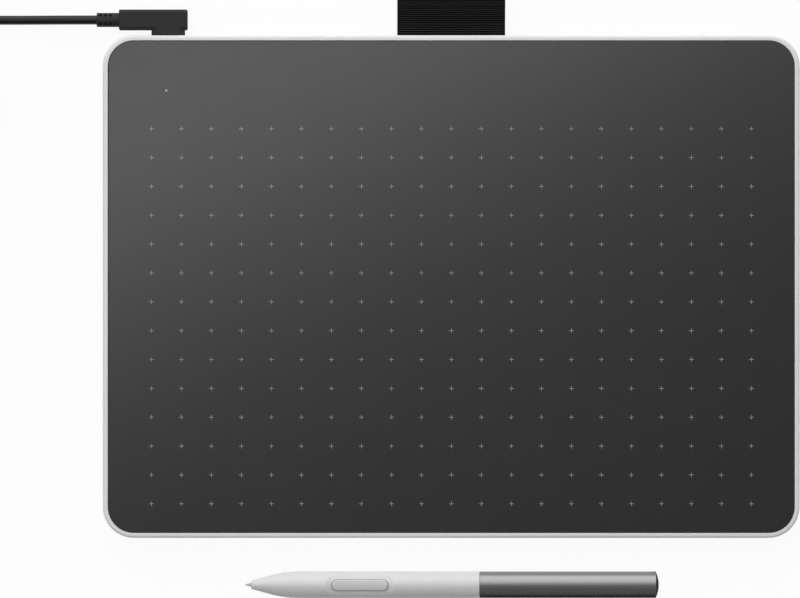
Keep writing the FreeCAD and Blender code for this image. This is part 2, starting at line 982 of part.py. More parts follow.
def support_foam():
    """Foam strips that hold the sensor stack up between the floor ribs."""
    places = rib_places()
    half = sensor_width / 2 - foam_inset
    strips = []
    for low, high in zip(places, places[1:]):
        middle = (low + high) / 2
        across = (middle - foam_depth / 2, middle + foam_depth / 2)
        strips.append(block((-half, half), across, (floor_top, shield_bottom)))
    return Part.Compound(strips)


def main_board():
    """The board that carries the socket, the status light and the power switch."""
    board = rounded_plate(
        board_right - board_left, board_depth, board_corner_radius, board_bottom, board_top,
        (board_left + board_right) / 2, board_y,
    )
    through = (board_bottom - over, board_top + over)
    half_socket = socket_width / 2 + socket_gap
    half_button = button_length / 2 + button_flange_side + button_notch_gap
    holes = [
        block(
            (socket_x - half_socket, socket_x + half_socket),
            (socket_back - socket_gap, board_rear + over), through,
        ),
        block(
            (button_x - half_button, button_x + half_button),
            (switch_face + switch_overhang, board_rear + over), through,
        ),
    ]
    for place in board_screw_places():
        holes.append(upright(board_screw_radius + screw_gap, place, *through))
    return board.cut(holes)


def board_screws():
    """The screws that hold the main board down."""
    screws = []
    for place in board_screw_places():
        screws.append(
            screw(
                board_screw_radius, board_thickness + board_screw_reach,
                board_screw_head_radius, board_screw_head_height, place, board_top,
            )
        )
    return Part.Compound(screws)


def socket_shell():
    """The metal shell of the cable socket."""
    outer = bar_along_y(
        socket_width, socket_height, socket_height, socket_back, socket_front, socket_x, socket_z
    )
    inner = bar_along_y(
        socket_width - 2 * socket_wall, socket_height - 2 * socket_wall, socket_height,
        socket_back + socket_wall, socket_front + over, socket_x, socket_z,
    )
    return outer.cut(inner)


def socket_tongue():
    """The contact tongue inside the socket, on the block that closes its back."""
    back = socket_back + socket_wall
    front = back + tongue_root + tongue_length
    shrink = 2 * (socket_wall + tongue_fit)
    root = bar_along_y(
        socket_width - shrink, socket_height - shrink, socket_height,
        back, back + tongue_root, socket_x, socket_z,
    )
    half = tongue_width / 2
    half_height = tongue_thickness / 2
    tongue = block(
        (socket_x - half, socket_x + half), (back, front),
        (socket_z - half_height, socket_z + half_height),
    )
    return fuse([root, tongue])


def controller_chip():
    """The tablet's controller."""
    half = controller_size / 2
    x = radio_x - radio_length / 2 - controller_gap - half
    return block(
        (x - half, x + half), (board_y - half, board_y + half),
        (board_top, board_top + controller_height),
    )


def radio_module():
    """The wireless module under its metal can."""
    return rounded_plate(
        radio_length, radio_depth, radio_corner_radius, board_top, board_top + radio_height,
        radio_x, board_y,
    )


def sensor_ribbon():
    """The flat cable from the sensor to the main board."""
    half = ribbon_width / 2
    start = sensor_connector_front + connector_depth / 2
    end = board_front + connector_depth / 2
    low = ribbon_level - ribbon_thickness / 2
    return block((ribbon_x - half, ribbon_x + half), (start, end), (low, low + ribbon_thickness))


def ribbon_connectors():
    """The two sockets that hold the ribbon's ends."""
    across = (ribbon_x - connector_half, ribbon_x + connector_half)
    cover = ribbon_thickness / 2 + connector_cover
    on_sensor = block(
        across, (sensor_connector_front, sensor_connector_front + connector_depth),
        (ribbon_level - cover, sensor_bottom),
    )
    on_board = block(
        across, (board_front, board_front + connector_depth), (board_top, ribbon_level + cover)
    )
    ribbon = sensor_ribbon()
    return Part.Compound([on_sensor.cut(ribbon), on_board.cut(ribbon)])


def status_led():
    """The light source on the board, under the light pipe."""
    return block(
        (light_x - led_length / 2, light_x + led_length / 2),
        (light_y - led_depth / 2, light_y + led_depth / 2), (board_top, board_top + led_height),
    )


def light_pipe():
    """The clear pipe that brings the light to a dot in the drawing sheet."""
    base = ledge_height - light_flange_height
    place = (light_x, light_y)
    tip = upright(light_tip_radius, place, base, surface_height)
    stem = upright(light_pipe_radius, place, base, sheet_bottom)
    flange = upright(light_flange_radius, place, base, ledge_height)
    return fuse([tip, stem, flange])


def power_button():
    """The button in the rear edge, kept in by its flange."""
    cap = bar_along_y(
        button_length, button_height, button_height,
        button_flange_front, rear_face - button_recess, button_x, button_z,
    )
    flange = bar_along_y(
        button_length + 2 * button_flange_side, button_height + 2 * button_flange_rise,
        button_flange_corner, button_flange_front, button_flange_rear, button_x, button_z,
    )
    half = button_stem_width / 2
    half_height = button_stem_height / 2
    stem = block(
        (button_x - half, button_x + half), (button_end, button_flange_rear),
        (switch_middle - half_height, switch_middle + half_height),
    )
    return fuse([cap, flange, stem])


def power_switch():
    """The small switch on the board behind the power button."""
    body = block(
        (button_x - switch_length / 2, button_x + switch_length / 2),
        (switch_face - switch_depth, switch_face), (board_top, board_top + switch_height),
    )
    well_end = switch_face - plunger_inside - button_travel - hole_end_gap
    well = rod(
        plunger_radius + plunger_fit, at(button_x, well_end, switch_middle),
        at(button_x, switch_face + over, switch_middle),
    )
    return body.cut(well)


def power_switch_plunger():
    """The switch's plunger, which moves in with the button."""
    return rod(
        plunger_radius, at(button_x, switch_face - plunger_inside, switch_middle),
        at(button_x, button_end, switch_middle),
    )


def battery():
    """The flat rechargeable cell, stuck to the floor."""
    top = floor_top + battery_thickness
    cell = rounded_plate(
        battery_right - battery_left, battery_depth, battery_corner_radius, floor_top, top,
        (battery_left + battery_right) / 2, battery_y,
    )
    return cell.makeFillet(battery_round, edges_at_height(cell, top))


def battery_connector():
    """The plug on the board that the battery's leads end in."""
    half = battery_connector_depth / 2
    return block(
        (battery_plug_left, battery_plug_right), (board_y - half, board_y + half),
        (board_top, board_top + battery_connector_height),
    )


def battery_leads():
    """Two wires from the battery to its connector, dipping between them."""
    start_z = board_top + battery_connector_height / 2
    end_z = floor_top + battery_thickness / 2
    low_z = floor_top + lead_radius + lead_lift
    middle_x = (battery_plug_right + battery_left) / 2
    leads = []
    for side in (-lead_spacing / 2, lead_spacing / 2):
        start = at(battery_plug_right, board_y + side, start_z)
        middle = at(middle_x, (board_y + battery_y) / 2 + side - lead_sag, low_z)
        end = at(battery_left, battery_y + side, end_z)
        edges = biarc(start, X_AXIS, middle, X_AXIS) + biarc(middle, X_AXIS, end, X_AXIS)
        leads.append(tube(edges, lead_radius, start, X_AXIS)[0])
    return Part.Compound(leads)


def side_line(a, b):
    """A straight edge between two (y, z) points."""
    return Part.LineSegment(at(0, *a), at(0, *b)).toShape()


def loop_half(root_z, level_z, side):
    """The edges of one strand, from the wall out to where the loop turns."""
    neck = rear_face + loop_neck
    flat = neck + loop_spread
    bend = loop_end - loop_height / 2
    root = at(0, neck, slot_z + side * root_z)
    level = at(0, flat, slot_z + side * level_z)
    height = level.z
    return biarc(root, Y_AXIS, level, Y_AXIS) + [side_line((flat, height), (bend, height))]


def loop_profile(root_z, thickness):
    """One face of the loop's section, root_z from the slot's middle at the wall."""
    bend = loop_end - loop_height / 2
    middle = loop_lift + loop_height / 2
    turn_radius = loop_height / 2 - thickness
    top = middle + turn_radius
    low = middle - turn_radius
    edges = loop_half(root_z, top - slot_z, 1)
    edges += loop_half(root_z, slot_z - low, -1)
    turn = (at(0, bend, top), at(0, bend + turn_radius, middle), at(0, bend, low))
    edges.append(Part.Arc(*turn).toShape())
    return edges


def pen_loop():
    """The webbing loop: both ends are sewn together and clamped inside the rear wall."""
    neck = rear_face + loop_neck
    high = slot_z + loop_thickness
    low = slot_z - loop_thickness
    outer = loop_profile(loop_thickness, 0)
    outer.append(side_line((neck, high), (loop_tail_start, high)))
    outer.append(side_line((loop_tail_start, high), (loop_tail_start, low)))
    outer.append(side_line((loop_tail_start, low), (neck, low)))
    half_throat = loop_throat / 2
    inner = loop_profile(half_throat, loop_thickness)
    inner.append(side_line((neck, slot_z + half_throat), (neck, slot_z - half_throat)))
    solids = []
    for edges in (outer, inner):
        face = Part.Face(Part.Wire(Part.__sortEdges__(edges)))
        face.translate(at(-loop_width / 2, 0, 0))
        solids.append(face.extrude(at(loop_width, 0, 0)))
    return solids[0].cut(solids[1])


def loop_clamp():
    """The bar that holds the loop's tail down."""
    bar = rounded_plate(
        2 * clamp_half, clamp_depth, clamp_corner_radius, clamp_bottom, clamp_top,
        0, loop_tail_start + clamp_depth / 2,
    )
    holes = []
    for x, y in clamp_screw_places():
        hole_radius = clamp_screw_radius + thread_gap
        sinking = Part.makeCone(
            hole_radius, clamp_head_radius + thread_gap, clamp_head_height,
            at(x, y, clamp_top - clamp_head_height),
        )
        holes.append(upright(hole_radius, (x, y), 0, surface_height))
        holes.append(sinking)
    return bar.cut(holes)


def clamp_screws():
    """Countersunk screws, level with the clamp's top."""
    screws = []
    for x, y in clamp_screw_places():
        head_bottom = clamp_top - clamp_head_height
        shank = upright(
            clamp_screw_radius, (x, y), clamp_bottom - clamp_screw_reach, head_bottom + sink
        )
        head = Part.makeCone(
            clamp_screw_radius, clamp_head_radius, clamp_head_height, at(x, y, head_bottom)
        )
        screws.append(fuse([shank, head]))
    return Part.Compound(screws)


def turned(edges):
    """A solid of revolution about the pen's axis, from edges in its XZ plane."""
    face = Part.Face(Part.Wire(Part.__sortEdges__(edges)))
    return face.revolve(ORIGIN, X_AXIS, 360)


def lines(points):
    """Straight edges through (along, radius) points."""
    return [
        Part.LineSegment(at(a[0], 0, a[1]), at(b[0], 0, b[1])).toShape()
        for a, b in zip(points, points[1:])
    ]


def pen_rod(radius, start, end, y=0.0, z=0.0):
    """A round piece along the pen."""
    return rod(radius, at(start, y, z), at(end, y, z))


def nose_edge():
    """The rounding at the nose's mouth, which its wall limits."""
    return min(nose_edge_round, (nose_mouth_radius - nib_hole_radius) / 2)


def nose_profile():
    """The outer edge of the pen's front, from its mouth to its seam."""
    tangent = nose_blend_radius * math.tan(nose_angle / 2)
    along = at(math.cos(nose_angle), 0, math.sin(nose_angle))
    blend_start = at(nose_corner, 0, pen_radius) - along * tangent
    blend_end = at(nose_corner + tangent, 0, pen_radius)
    edge_start = at(nose_mouth, 0, nose_mouth_radius - nose_edge())
    edge_end = at(nose_mouth, 0, nose_mouth_radius) + along * nose_edge()
    return [
        arc_through(edge_end, along * -1, edge_start),
        Part.LineSegment(edge_end, blend_start).toShape(),
        arc_through(blend_start, along, blend_end),
        Part.LineSegment(blend_end, at(pen_seam, 0, pen_radius)).toShape(),
    ]


def halo_hollow():
    """What the shallow recess round the side switch takes off the pen's barrel."""
    floor_reach = rocker_length / 2 + rocker_gap + halo_margin
    ramp_reach = floor_reach + 2 * halo_ramp
    ramp_radius = halo_radius + 2 * halo_depth
    kept = turned(
        lines(
            [
                (-ramp_reach, 0), (-ramp_reach, ramp_radius), (-floor_reach, halo_radius),
                (floor_reach, halo_radius), (ramp_reach, ramp_radius), (ramp_reach, 0),
                (-ramp_reach, 0),
            ]
        )
    )
    kept.translate(at(rocker_place, 0, halo_axis))
    half = ramp_reach - halo_ramp / 2
    room = block(
        (rocker_place - half, rocker_place + half), (-pen_radius, pen_radius),
        (0, pen_radius + over),
    )
    return room.cut(kept)


def pen_front_case():
    """The pale front of the pen, with the recess and slot of the side switch."""
    bore_start = nose_mouth + (pen_bore_radius + nose_inner_offset) / nose_slope
    hole_end = nose_mouth + (nib_hole_radius + nose_inner_offset) / nose_slope
    edges = nose_profile()
    edges += lines(
        [
            (pen_seam, pen_radius), (pen_seam, pen_bore_radius), (bore_start, pen_bore_radius),
            (hole_end, nib_hole_radius), (nose_mouth, nib_hole_radius),
            (nose_mouth, nose_mouth_radius - nose_edge()),
        ]
    )
    slot = rounded_plate(
        rocker_length + 2 * rocker_gap, rocker_width + 2 * rocker_side_gap, rocker_width,
        0, pen_radius + over, rocker_place,
    )
    return turned(edges).cut([halo_hollow(), slot])


def nib():
    """A nib with its round tip at the start of the pen's axis."""
    angle = math.atan2(nib_radius - nib_tip_radius, nib_cone - nib_tip_radius)
    half = (math.pi / 2 - angle) / 2
    tip_end = (nib_tip_radius * (1 - math.sin(angle)), nib_tip_radius * math.cos(angle))
    tip_middle = (nib_tip_radius * (1 - math.cos(half)), nib_tip_radius * math.sin(half))
    tip = Part.Arc(ORIGIN, at(tip_middle[0], 0, tip_middle[1]), at(tip_end[0], 0, tip_end[1]))
    edges = lines([tip_end, (nib_cone, nib_radius), (nib_length, nib_radius), (nib_length, 0), (0, 0)])
    return turned([tip.toShape()] + edges)


def nib_holder():
    """The cup that grips the nib and presses on the sensor."""
    cup = pen_rod(nib_holder_radius, holder_start, holder_end)
    stub = pen_rod(stub_radius, holder_end - sink, holder_end + stub_length)
    bore = pen_rod(nib_radius + nib_holder_fit, holder_start - over, nib_length)
    return fuse([cup, stub]).cut(bore)


def sleeve_ring(outer_radius, inner_radius, start, end):
    """A round sleeve along the pen."""
    return pen_rod(outer_radius, start, end).cut(pen_rod(inner_radius, start - over, end + over))


def ferrite_core():
    """The core round the nib."""
    return sleeve_ring(ferrite_radius, nib_radius + ferrite_bore_gap, ferrite_start, ferrite_end)


def core_winding():
    """The wire wound on the core, as one sleeve."""
    return sleeve_ring(winding_radius, ferrite_radius + winding_fit, winding_start, winding_end)


def pressure_sensor():
    """The capsule that feels the nib; the holder's stub works in its front."""
    well_end = holder_end + stub_length + nib_travel + hole_end_gap
    well = pen_rod(stub_radius + stub_gap, capsule_start - over, well_end)
    return pen_rod(capsule_radius, capsule_start, capsule_end).cut(well)


def rocker_ears(grow=0.0):
    """The two ears that hold the rocker's pin, or the room for them in the board."""
    top = rocker_pin_height + rocker_pin_radius + ear_cap
    inner = rocker_hub_width / 2 + ear_gap
    half = ear_length / 2 + grow
    ears = []
    for side in (-1, 1):
        low, high = sorted((side * (inner - grow), side * (inner + ear_thickness + grow)))
        ears.append(
            block((rocker_place - half, rocker_place + half), (low, high), (board_flat - sink, top))
        )
    return ears


def pen_chassis():
    """The carrier inside the pen, from the core to the spigot that the rear case slides on."""
    body = pen_rod(chassis_radius, chassis_start, pen_seam)
    spigot = pen_rod(spigot_radius, pen_seam, rack_start)
    above = pen_radius + over
    core_seat = pen_rod(ferrite_radius + capsule_fit, chassis_start - over, chassis_step + sink)
    capsule_seat = pen_rod(capsule_radius + capsule_fit, chassis_step, trough_start + sink)
    trough = block((trough_start, bulkhead_start), (-above, above), (board_flat, above))
    stub_hole = pen_rod(
        rack_stub_radius + capsule_fit, rack_start - rack_stub_length - hole_end_gap,
        rack_start + over,
    )
    half_groove = friction_ring_radius + groove_gap
    groove = sleeve_ring(
        spigot_radius + over, friction_ring_circle - half_groove,
        friction_ring_place - half_groove, friction_ring_place + half_groove,
    )
    carrier = fuse([body, spigot]).cut([core_seat, capsule_seat, trough, stub_hole, groove])
    pin_hole = rod(
        rocker_pin_radius + ear_hole_fit, at(rocker_place, -above, rocker_pin_height),
        at(rocker_place, above, rocker_pin_height),
    )
    return fuse([carrier] + rocker_ears()).cut(pin_hole)


def friction_ring():
    """The rubber ring that holds the rear case on."""
    return Part.makeTorus(
        friction_ring_circle, friction_ring_radius, at(friction_ring_place, 0, 0), X_AXIS
    )


def pen_board():
    """The pen's circuit board, on the flat of the carrier, with slots for the ears."""
    half = pen_board_width / 2
    board = block((pen_board_start, pen_board_end), (-half, half), (board_flat, pen_board_top))
    return board.cut(rocker_ears(ear_board_gap))


def pen_chip():
    """The chip on the pen's board."""
    half = pen_chip_size / 2
    return block(
        (pen_chip_place - half, pen_chip_place + half), (-half, half),
        (pen_board_top, pen_board_top + pen_chip_height),
    )


def side_switch_contacts():
    """The two small switches under the rocker's ends."""
    switches = []
    for side in (-1, 1):
        x = rocker_place + side * rocker_foot_place
        body = block(
            (x - tact_length / 2, x + tact_length / 2), (-tact_width / 2, tact_width / 2),
            (pen_board_top, pen_board_top + tact_height),
        )
        dome = upright(tact_dome_radius, (x, 0), pen_board_top, tact_top)
        switches.append(fuse([body, dome]))
    return Part.Compound(switches)


def rocker_key():
    """The long round-ended key that a finger meets, lower in its middle than at its ends."""
    low = pen_radius - rocker_shell
    key = rounded_plate(
        rocker_length, rocker_width, rocker_width, low, pen_radius + over, rocker_place
    )
    end_radius = pen_radius + rocker_proud - halo_axis
    middle = at(0, 0, end_radius - rocker_dip)
    reach = rocker_length / 2 + over
    rise = rocker_dip * (2 * reach / rocker_length) ** 2
    left = middle + at(-reach, 0, rise)
    right = middle + at(reach, 0, rise)
    edges = [Part.Arc(left, middle, right).toShape()]
    edges += lines([(reach, right.z), (reach, 0), (-reach, 0), (-reach, left.z)])
    saddle = turned(edges)
    saddle.rotate(ORIGIN, X_AXIS, 180)
    saddle.translate(at(rocker_place, 0, halo_axis))
    key = key.common(saddle)
    rim = [edge for edge in key.Edges if edge.BoundBox.ZMin > low + level_within]
    return key.makeFillet(rocker_edge_round, rim)


def side_switch():
    """The rocker: its key, two feet and the hub that turns on the pin."""
    swing = rocker_foot_place * math.sin(math.radians(rocker_tilt))
    foot_bottom = tact_top + swing + tact_gap
    inside_key = pen_radius - rocker_shell / 2
    half_foot = rocker_width / 2 - rocker_foot_inset
    half_hub = rocker_hub_width / 2
    parts = [rocker_key()]
    for side in (-1, 1):
        x = rocker_place + side * rocker_foot_place
        along = (x - rocker_foot_length / 2, x + rocker_foot_length / 2)
        parts.append(block(along, (-half_foot, half_foot), (foot_bottom, inside_key)))
    web = (rocker_place - rocker_hub_radius, rocker_place + rocker_hub_radius)
    parts.append(block(web, (-half_hub, half_hub), (rocker_pin_height, inside_key)))
    hub_start = at(rocker_place, -half_hub, rocker_pin_height)
    hub_end = at(rocker_place, half_hub, rocker_pin_height)
    parts.append(rod(rocker_hub_radius, hub_start, hub_end))
    bore = rod(
        rocker_pin_radius + rocker_pin_fit, hub_start - Y_AXIS * over, hub_end + Y_AXIS * over
    )
    return fuse(parts).cut(bore)


def side_switch_pin():
    """The pin that the rocker tilts on, held in the carrier's ears."""
    reach = rocker_hub_width / 2 + ear_gap + ear_thickness
    return rod(
        rocker_pin_radius, at(rocker_place, -reach, rocker_pin_height),
        at(rocker_place, reach, rocker_pin_height),
    )


def spare_nib_places():
    """Where the spare nibs stand round the pen's axis."""
    places = []
    for number in range(spare_nib_count):
        angle = 2 * math.pi * number / spare_nib_count + math.pi / 2
        places.append((rack_bore_circle * math.cos(angle), rack_bore_circle * math.sin(angle)))
    return places


def spare_nib_rack():
    """The plug at the end of the spigot that stores spare nibs."""
    body = pen_rod(rack_radius, rack_start, rack_end)
    stub = pen_rod(rack_stub_radius, rack_start - rack_stub_length, rack_start + sink)
    bores = [
        pen_rod(rack_bore_radius, rack_end - rack_bore_depth, rack_end + over, y, z)
        for y, z in spare_nib_places()
    ]
    return fuse([stub, body]).cut(bores)


def spare_nibs():
    """Spare nibs in the rack, points outward."""
    nibs = []
    for y, z in spare_nib_places():
        spare = nib()
        spare.rotate(ORIGIN, Z_AXIS, 180)
        spare.translate(at(rack_end - rack_bore_depth + nib_length, y, z))
        nibs.append(spare)
    return Part.Compound(nibs)


def pen_rear_case():
    """The dark rear of the pen, a cap with a shallow domed end."""
    start = pen_seam + pen_seam_gap
    shoulder = pen_length - rear_dome
    dome_radius = (pen_radius ** 2 + rear_dome ** 2) / (2 * rear_dome)
    half = math.asin(pen_radius / dome_radius) / 2
    middle_x = pen_length - dome_radius * (1 - math.cos(half))
    dome = Part.Arc(
        at(shoulder, 0, pen_radius), at(middle_x, 0, dome_radius * math.sin(half)),
        at(pen_length, 0, 0),
    )
    edges = lines(
        [
            (pen_length, 0), (rear_cavity_end, 0), (rear_cavity_end, rear_bore_radius),
            (start, rear_bore_radius), (start, pen_radius), (shoulder, pen_radius),
        ]
    )
    return turned([dome.toShape()] + edges)


def in_pen(shape):
    """Moves a piece from the pen's own axis to where the pen lies on the desk."""
    shape = shape.copy()
    shape.translate(at(pen_tip_x, pen_y, pen_radius))
    return shape


def plug_insert():
    """The metal tube of the angled plug, pushed into the socket."""
    end = rear_face - insert_length
    outer = bar_along_y(
        insert_width, insert_height, insert_height, end, rear_face + insert_root,
        socket_x, socket_z,
    )
    inner = bar_along_y(
        insert_width - 2 * insert_wall, insert_height - 2 * insert_wall, insert_height,
        end - over, rear_face, socket_x, socket_z,
    )
    return outer.cut(inner)


def plug_body():
    """The moulded body of the angled plug, with the neck that meets the tablet."""
    neck = bar_along_y(
        neck_width, body_height, neck_round, rear_face, plug_front + neck_overlap,
        socket_x, socket_z,
    )
    front = [edge for edge in neck.Edges if edge.BoundBox.YMax < rear_face + level_within]
    neck = neck.makeFillet(neck_front_round, front)
    low = socket_z - body_height / 2
    body = block((plug_left, plug_right), (plug_front, plug_front + body_depth), (low, low + body_height))
    along = [edge for edge in body.Edges if edge.BoundBox.XLength > body_height]
    body = body.makeFillet(body_round, along)
    ends = [edge for edge in body.Edges if edge.BoundBox.XLength < level_within]
    body = body.makeFillet(body_end_round, ends)
    seat = bar_along_y(
        insert_width, insert_height, insert_height, rear_face - over, rear_face + insert_root,
        socket_x, socket_z,
    )
    return fuse([body, neck]).cut(seat)


def slot_wedge(turn):
    """A wedge that limits one column of the sleeve's slots."""
    reach = 2 * sleeve_radius
    half = reach * math.tan(math.radians(sleeve_slot_span / 2))
    corners = [ORIGIN, at(0, -half, reach), at(0, half, reach), ORIGIN]
    wedge = Part.Face(Part.makePolygon(corners)).extrude(at(sleeve_length, 0, 0))
    wedge.rotate(ORIGIN, X_AXIS, turn)
    return wedge


def bend_sleeve(start, direction):
    """A bend sleeve with rows of slots, from a plug's body out along the cable."""
    edges = lines(
        [
            (0, 0), (sleeve_length, 0), (sleeve_length, sleeve_radius - sleeve_edge),
            (sleeve_length - sleeve_edge, sleeve_radius), (0, sleeve_radius), (0, 0),
        ]
    )
    slots = []
    upright = (sleeve_slot_lean, -sleeve_slot_lean)
    for row in range(sleeve_row_count):
        high = sleeve_length - sleeve_slot_start - row * sleeve_slot_pitch
        ring = sleeve_ring(
            sleeve_radius + over, sleeve_radius - sleeve_slot_depth, high - sleeve_slot_width, high
        )
        for turn in upright:
            slots.append(ring.common(slot_wedge(turn)))
            slots.append(ring.common(slot_wedge(turn + 180)))
    shape = turned(edges).cut(slots)
    shape.Placement = FreeCAD.Placement(start, FreeCAD.Rotation(X_AXIS, direction))
    return shape


def cable_run():
    """The cable from the angled plug to the coil."""
    edges, start, tangent = rounded_route(run_route, "cable_run")
    shape, length = tube(edges, cable_radius, start, tangent)
    print_volume("cable_run", shape, length)
    return shape


def cable_tail():
    """The cable from the coil to the computer's plug."""
    edges, start, tangent = rounded_route(tail_route, "cable_tail")
    shape, length = tube(edges, cable_radius, start, tangent)
    print_volume("cable_tail", shape, length)
    return shape


def cable_coil():
    """The wound part of the cable, one unbroken tube with straight ends."""
    count = math.ceil(coil_turns * 4)
    turns = [coil_turns * place / count for place in range(count + 1)]
    start = coil_point(0) - coil_tangent(0) * coil_end_length
    end = coil_point(coil_turns) + coil_tangent(coil_turns) * coil_end_length
    edges = [Part.LineSegment(start, coil_point(0)).toShape()]
    for a, b in zip(turns, turns[1:]):
        edges += biarc(coil_point(a), coil_tangent(a), coil_point(b), coil_tangent(b))
    edges.append(Part.LineSegment(coil_point(coil_turns), end).toShape())
    shape, length = tube(edges, cable_radius, start, coil_tangent(0))
    print_volume("cable_coil", shape, length)
    print_coil_gap()
    return shape


def cable_tie(side):
    """A strap round the coil's bundle, at its rear (1) or its front (-1)."""
    near = [
        point for point in coil_points()
        if abs(point.x - coil_x) < tie_width and side * (point.y - coil_y) > 0
    ]
    room = cable_radius + tie_gap
    low = min(point.y for point in near) - room
    high = max(point.y for point in near) + room
    bundle_height = coil_top_z - coil_z + 2 * room
    rings = []
    for grow in (tie_thickness, 0):
        face = Part.Face(
            rounded_outline(bundle_height + 2 * grow, high - low + 2 * grow, cable_radius + grow)
        )
        face.rotate(ORIGIN, Y_AXIS, -90)
        face.translate(at(coil_x + tie_width / 2, (low + high) / 2, (coil_z + coil_top_z) / 2))
        rings.append(face.extrude(at(-tie_width, 0, 0)))
    return rings[0].cut(rings[1])


def cable_ties():
    """The two straps that keep the coil together."""
    return Part.Compound([cable_tie(side) for side in (-1, 1)])


def computer_body():
    """The moulded grip of the computer's plug."""
    half = computer_body_width / 2
    body = block(
        (tail_x - half, tail_x + half), (computer_body_front, computer_body_rear),
        (0, computer_body_height),
    )
    return body.makeFillet(computer_body_round, body.Edges)


def computer_shell():
    """The metal shell of the computer's plug, with its latch windows."""
    outer = bar_along_y(
        computer_shell_width, computer_shell_height, computer_shell_corner,
        computer_shell_end, computer_body_front, tail_x, computer_plug_z,
    )
    inner = bar_along_y(
        computer_shell_width - 2 * computer_shell_wall,
        computer_shell_height - 2 * computer_shell_wall,
        computer_shell_corner - computer_shell_wall,
        computer_shell_end - over, computer_body_front - computer_shell_wall,
        tail_x, computer_plug_z,
    )
    half = computer_window_size / 2
    y = computer_shell_end + computer_window_place
    holes = [inner]
    for side in (-1, 1):
        x = tail_x + side * computer_window_spacing / 2
        holes.append(block((x - half, x + half), (y - half, y + half), (0, computer_body_height)))
    return outer.cut(holes)


def computer_tongue():
    """The insulating tongue inside the computer's plug."""
    half = computer_shell_width / 2 - computer_shell_wall - computer_tongue_gap
    return block(
        (tail_x - half, tail_x + half),
        (computer_shell_end + computer_tongue_inset, computer_body_front - computer_shell_wall),
        (computer_tongue_top - computer_tongue_height, computer_tongue_top),
    )


def computer_contacts():
    """The contact strips under the tongue."""
    start = computer_shell_end + computer_tongue_inset + contact_inset
    high = computer_tongue_top - computer_tongue_height
    strips = []
    for number in range(contact_count):
        x = tail_x + (number - (contact_count - 1) / 2) * contact_pitch
        across = (x - contact_width / 2, x + contact_width / 2)
        strips.append(block(across, (start, start + contact_length), (high - contact_thickness, high)))
    return Part.Compound(strips)


def tablet_pieces():
    """The tablet's own pieces by name."""
    return {
        "back_cover": back_cover(),
        "top_case": top_case(),
        "drawing_sheet": drawing_sheet(),
        "rubber_feet": rubber_feet(),
        "rating_label": rating_label(),
        "case_screws": case_screws(),
        "sensor_board": sensor_board(),
        "shield_plate": shield_plate(),
        "support_foam": support_foam(),
        "main_board": main_board(),
        "board_screws": board_screws(),
        "socket_shell": socket_shell(),
        "socket_tongue": socket_tongue(),
        "controller_chip": controller_chip(),
        "radio_module": radio_module(),
        "sensor_ribbon": sensor_ribbon(),
        "ribbon_connectors": ribbon_connectors(),
        "status_led": status_led(),
        "light_pipe": light_pipe(),
        "power_button": power_button(),
        "power_switch": power_switch(),
        "power_switch_plunger": power_switch_plunger(),
        "battery": battery(),
        "battery_connector": battery_connector(),
        "battery_leads": battery_leads(),
        "pen_loop": pen_loop(),
        "loop_clamp": loop_clamp(),
        "clamp_screws": clamp_screws(),
    }


def pen_pieces():
    """The pen's pieces by name, where the pen lies."""
    pieces = {
        "pen_front_case": pen_front_case(),
        "pen_rear_case": pen_rear_case(),
        "pen_nib": nib(),
        "nib_holder": nib_holder(),
        "ferrite_core": ferrite_core(),
        "core_winding": core_winding(),
        "pressure_sensor": pressure_sensor(),
        "pen_chassis": pen_chassis(),
        "friction_ring": friction_ring(),
        "pen_board": pen_board(),
        "pen_chip": pen_chip(),
        "side_switch_contacts": side_switch_contacts(),
        "side_switch": side_switch(),
        "side_switch_pin": side_switch_pin(),
        "spare_nib_rack": spare_nib_rack(),
        "spare_nibs": spare_nibs(),
    }
    return {name: in_pen(shape) for name, shape in pieces.items()}


def cable_pieces():
    """The cable and the plugs on it by name."""
    return {
        "angled_plug_insert": plug_insert(),
        "angled_plug_body": plug_body(),
        "angled_plug_sleeve": bend_sleeve(at(plug_left, cable_y, socket_z), X_AXIS * -1),
        "cable_run": cable_run(),
        "cable_coil": cable_coil(),
        "cable_ties": cable_ties(),
        "cable_tail": cable_tail(),
        "computer_plug_sleeve": bend_sleeve(at(tail_x, computer_body_rear, computer_plug_z), Y_AXIS),
        "computer_plug_body": computer_body(),
        "computer_plug_shell": computer_shell(),
        "computer_plug_tongue": computer_tongue(),
        "computer_plug_contacts": computer_contacts(),
    }


def save(name, shape):
    """Writes a piece, alone or as a group of solids."""
    solids = shape.Solids
    made = solids[0] if len(solids) == 1 else Part.Compound(solids)
    sound = all(solid.isValid() and solid.Volume > 0 for solid in solids)
    print(f"{name}: solids {len(solids)}, volume {made.Volume:.1f}, sound {sound}")
    made.exportStep(f"parts/{name}.step")


def main():
    """Builds and writes every piece."""
    os.makedirs("parts", exist_ok=True)
    for pieces in (tablet_pieces(), pen_pieces(), cable_pieces()):
        for name, shape in pieces.items():
            save(name, shape)


if __name__ == "__main__":
    main()
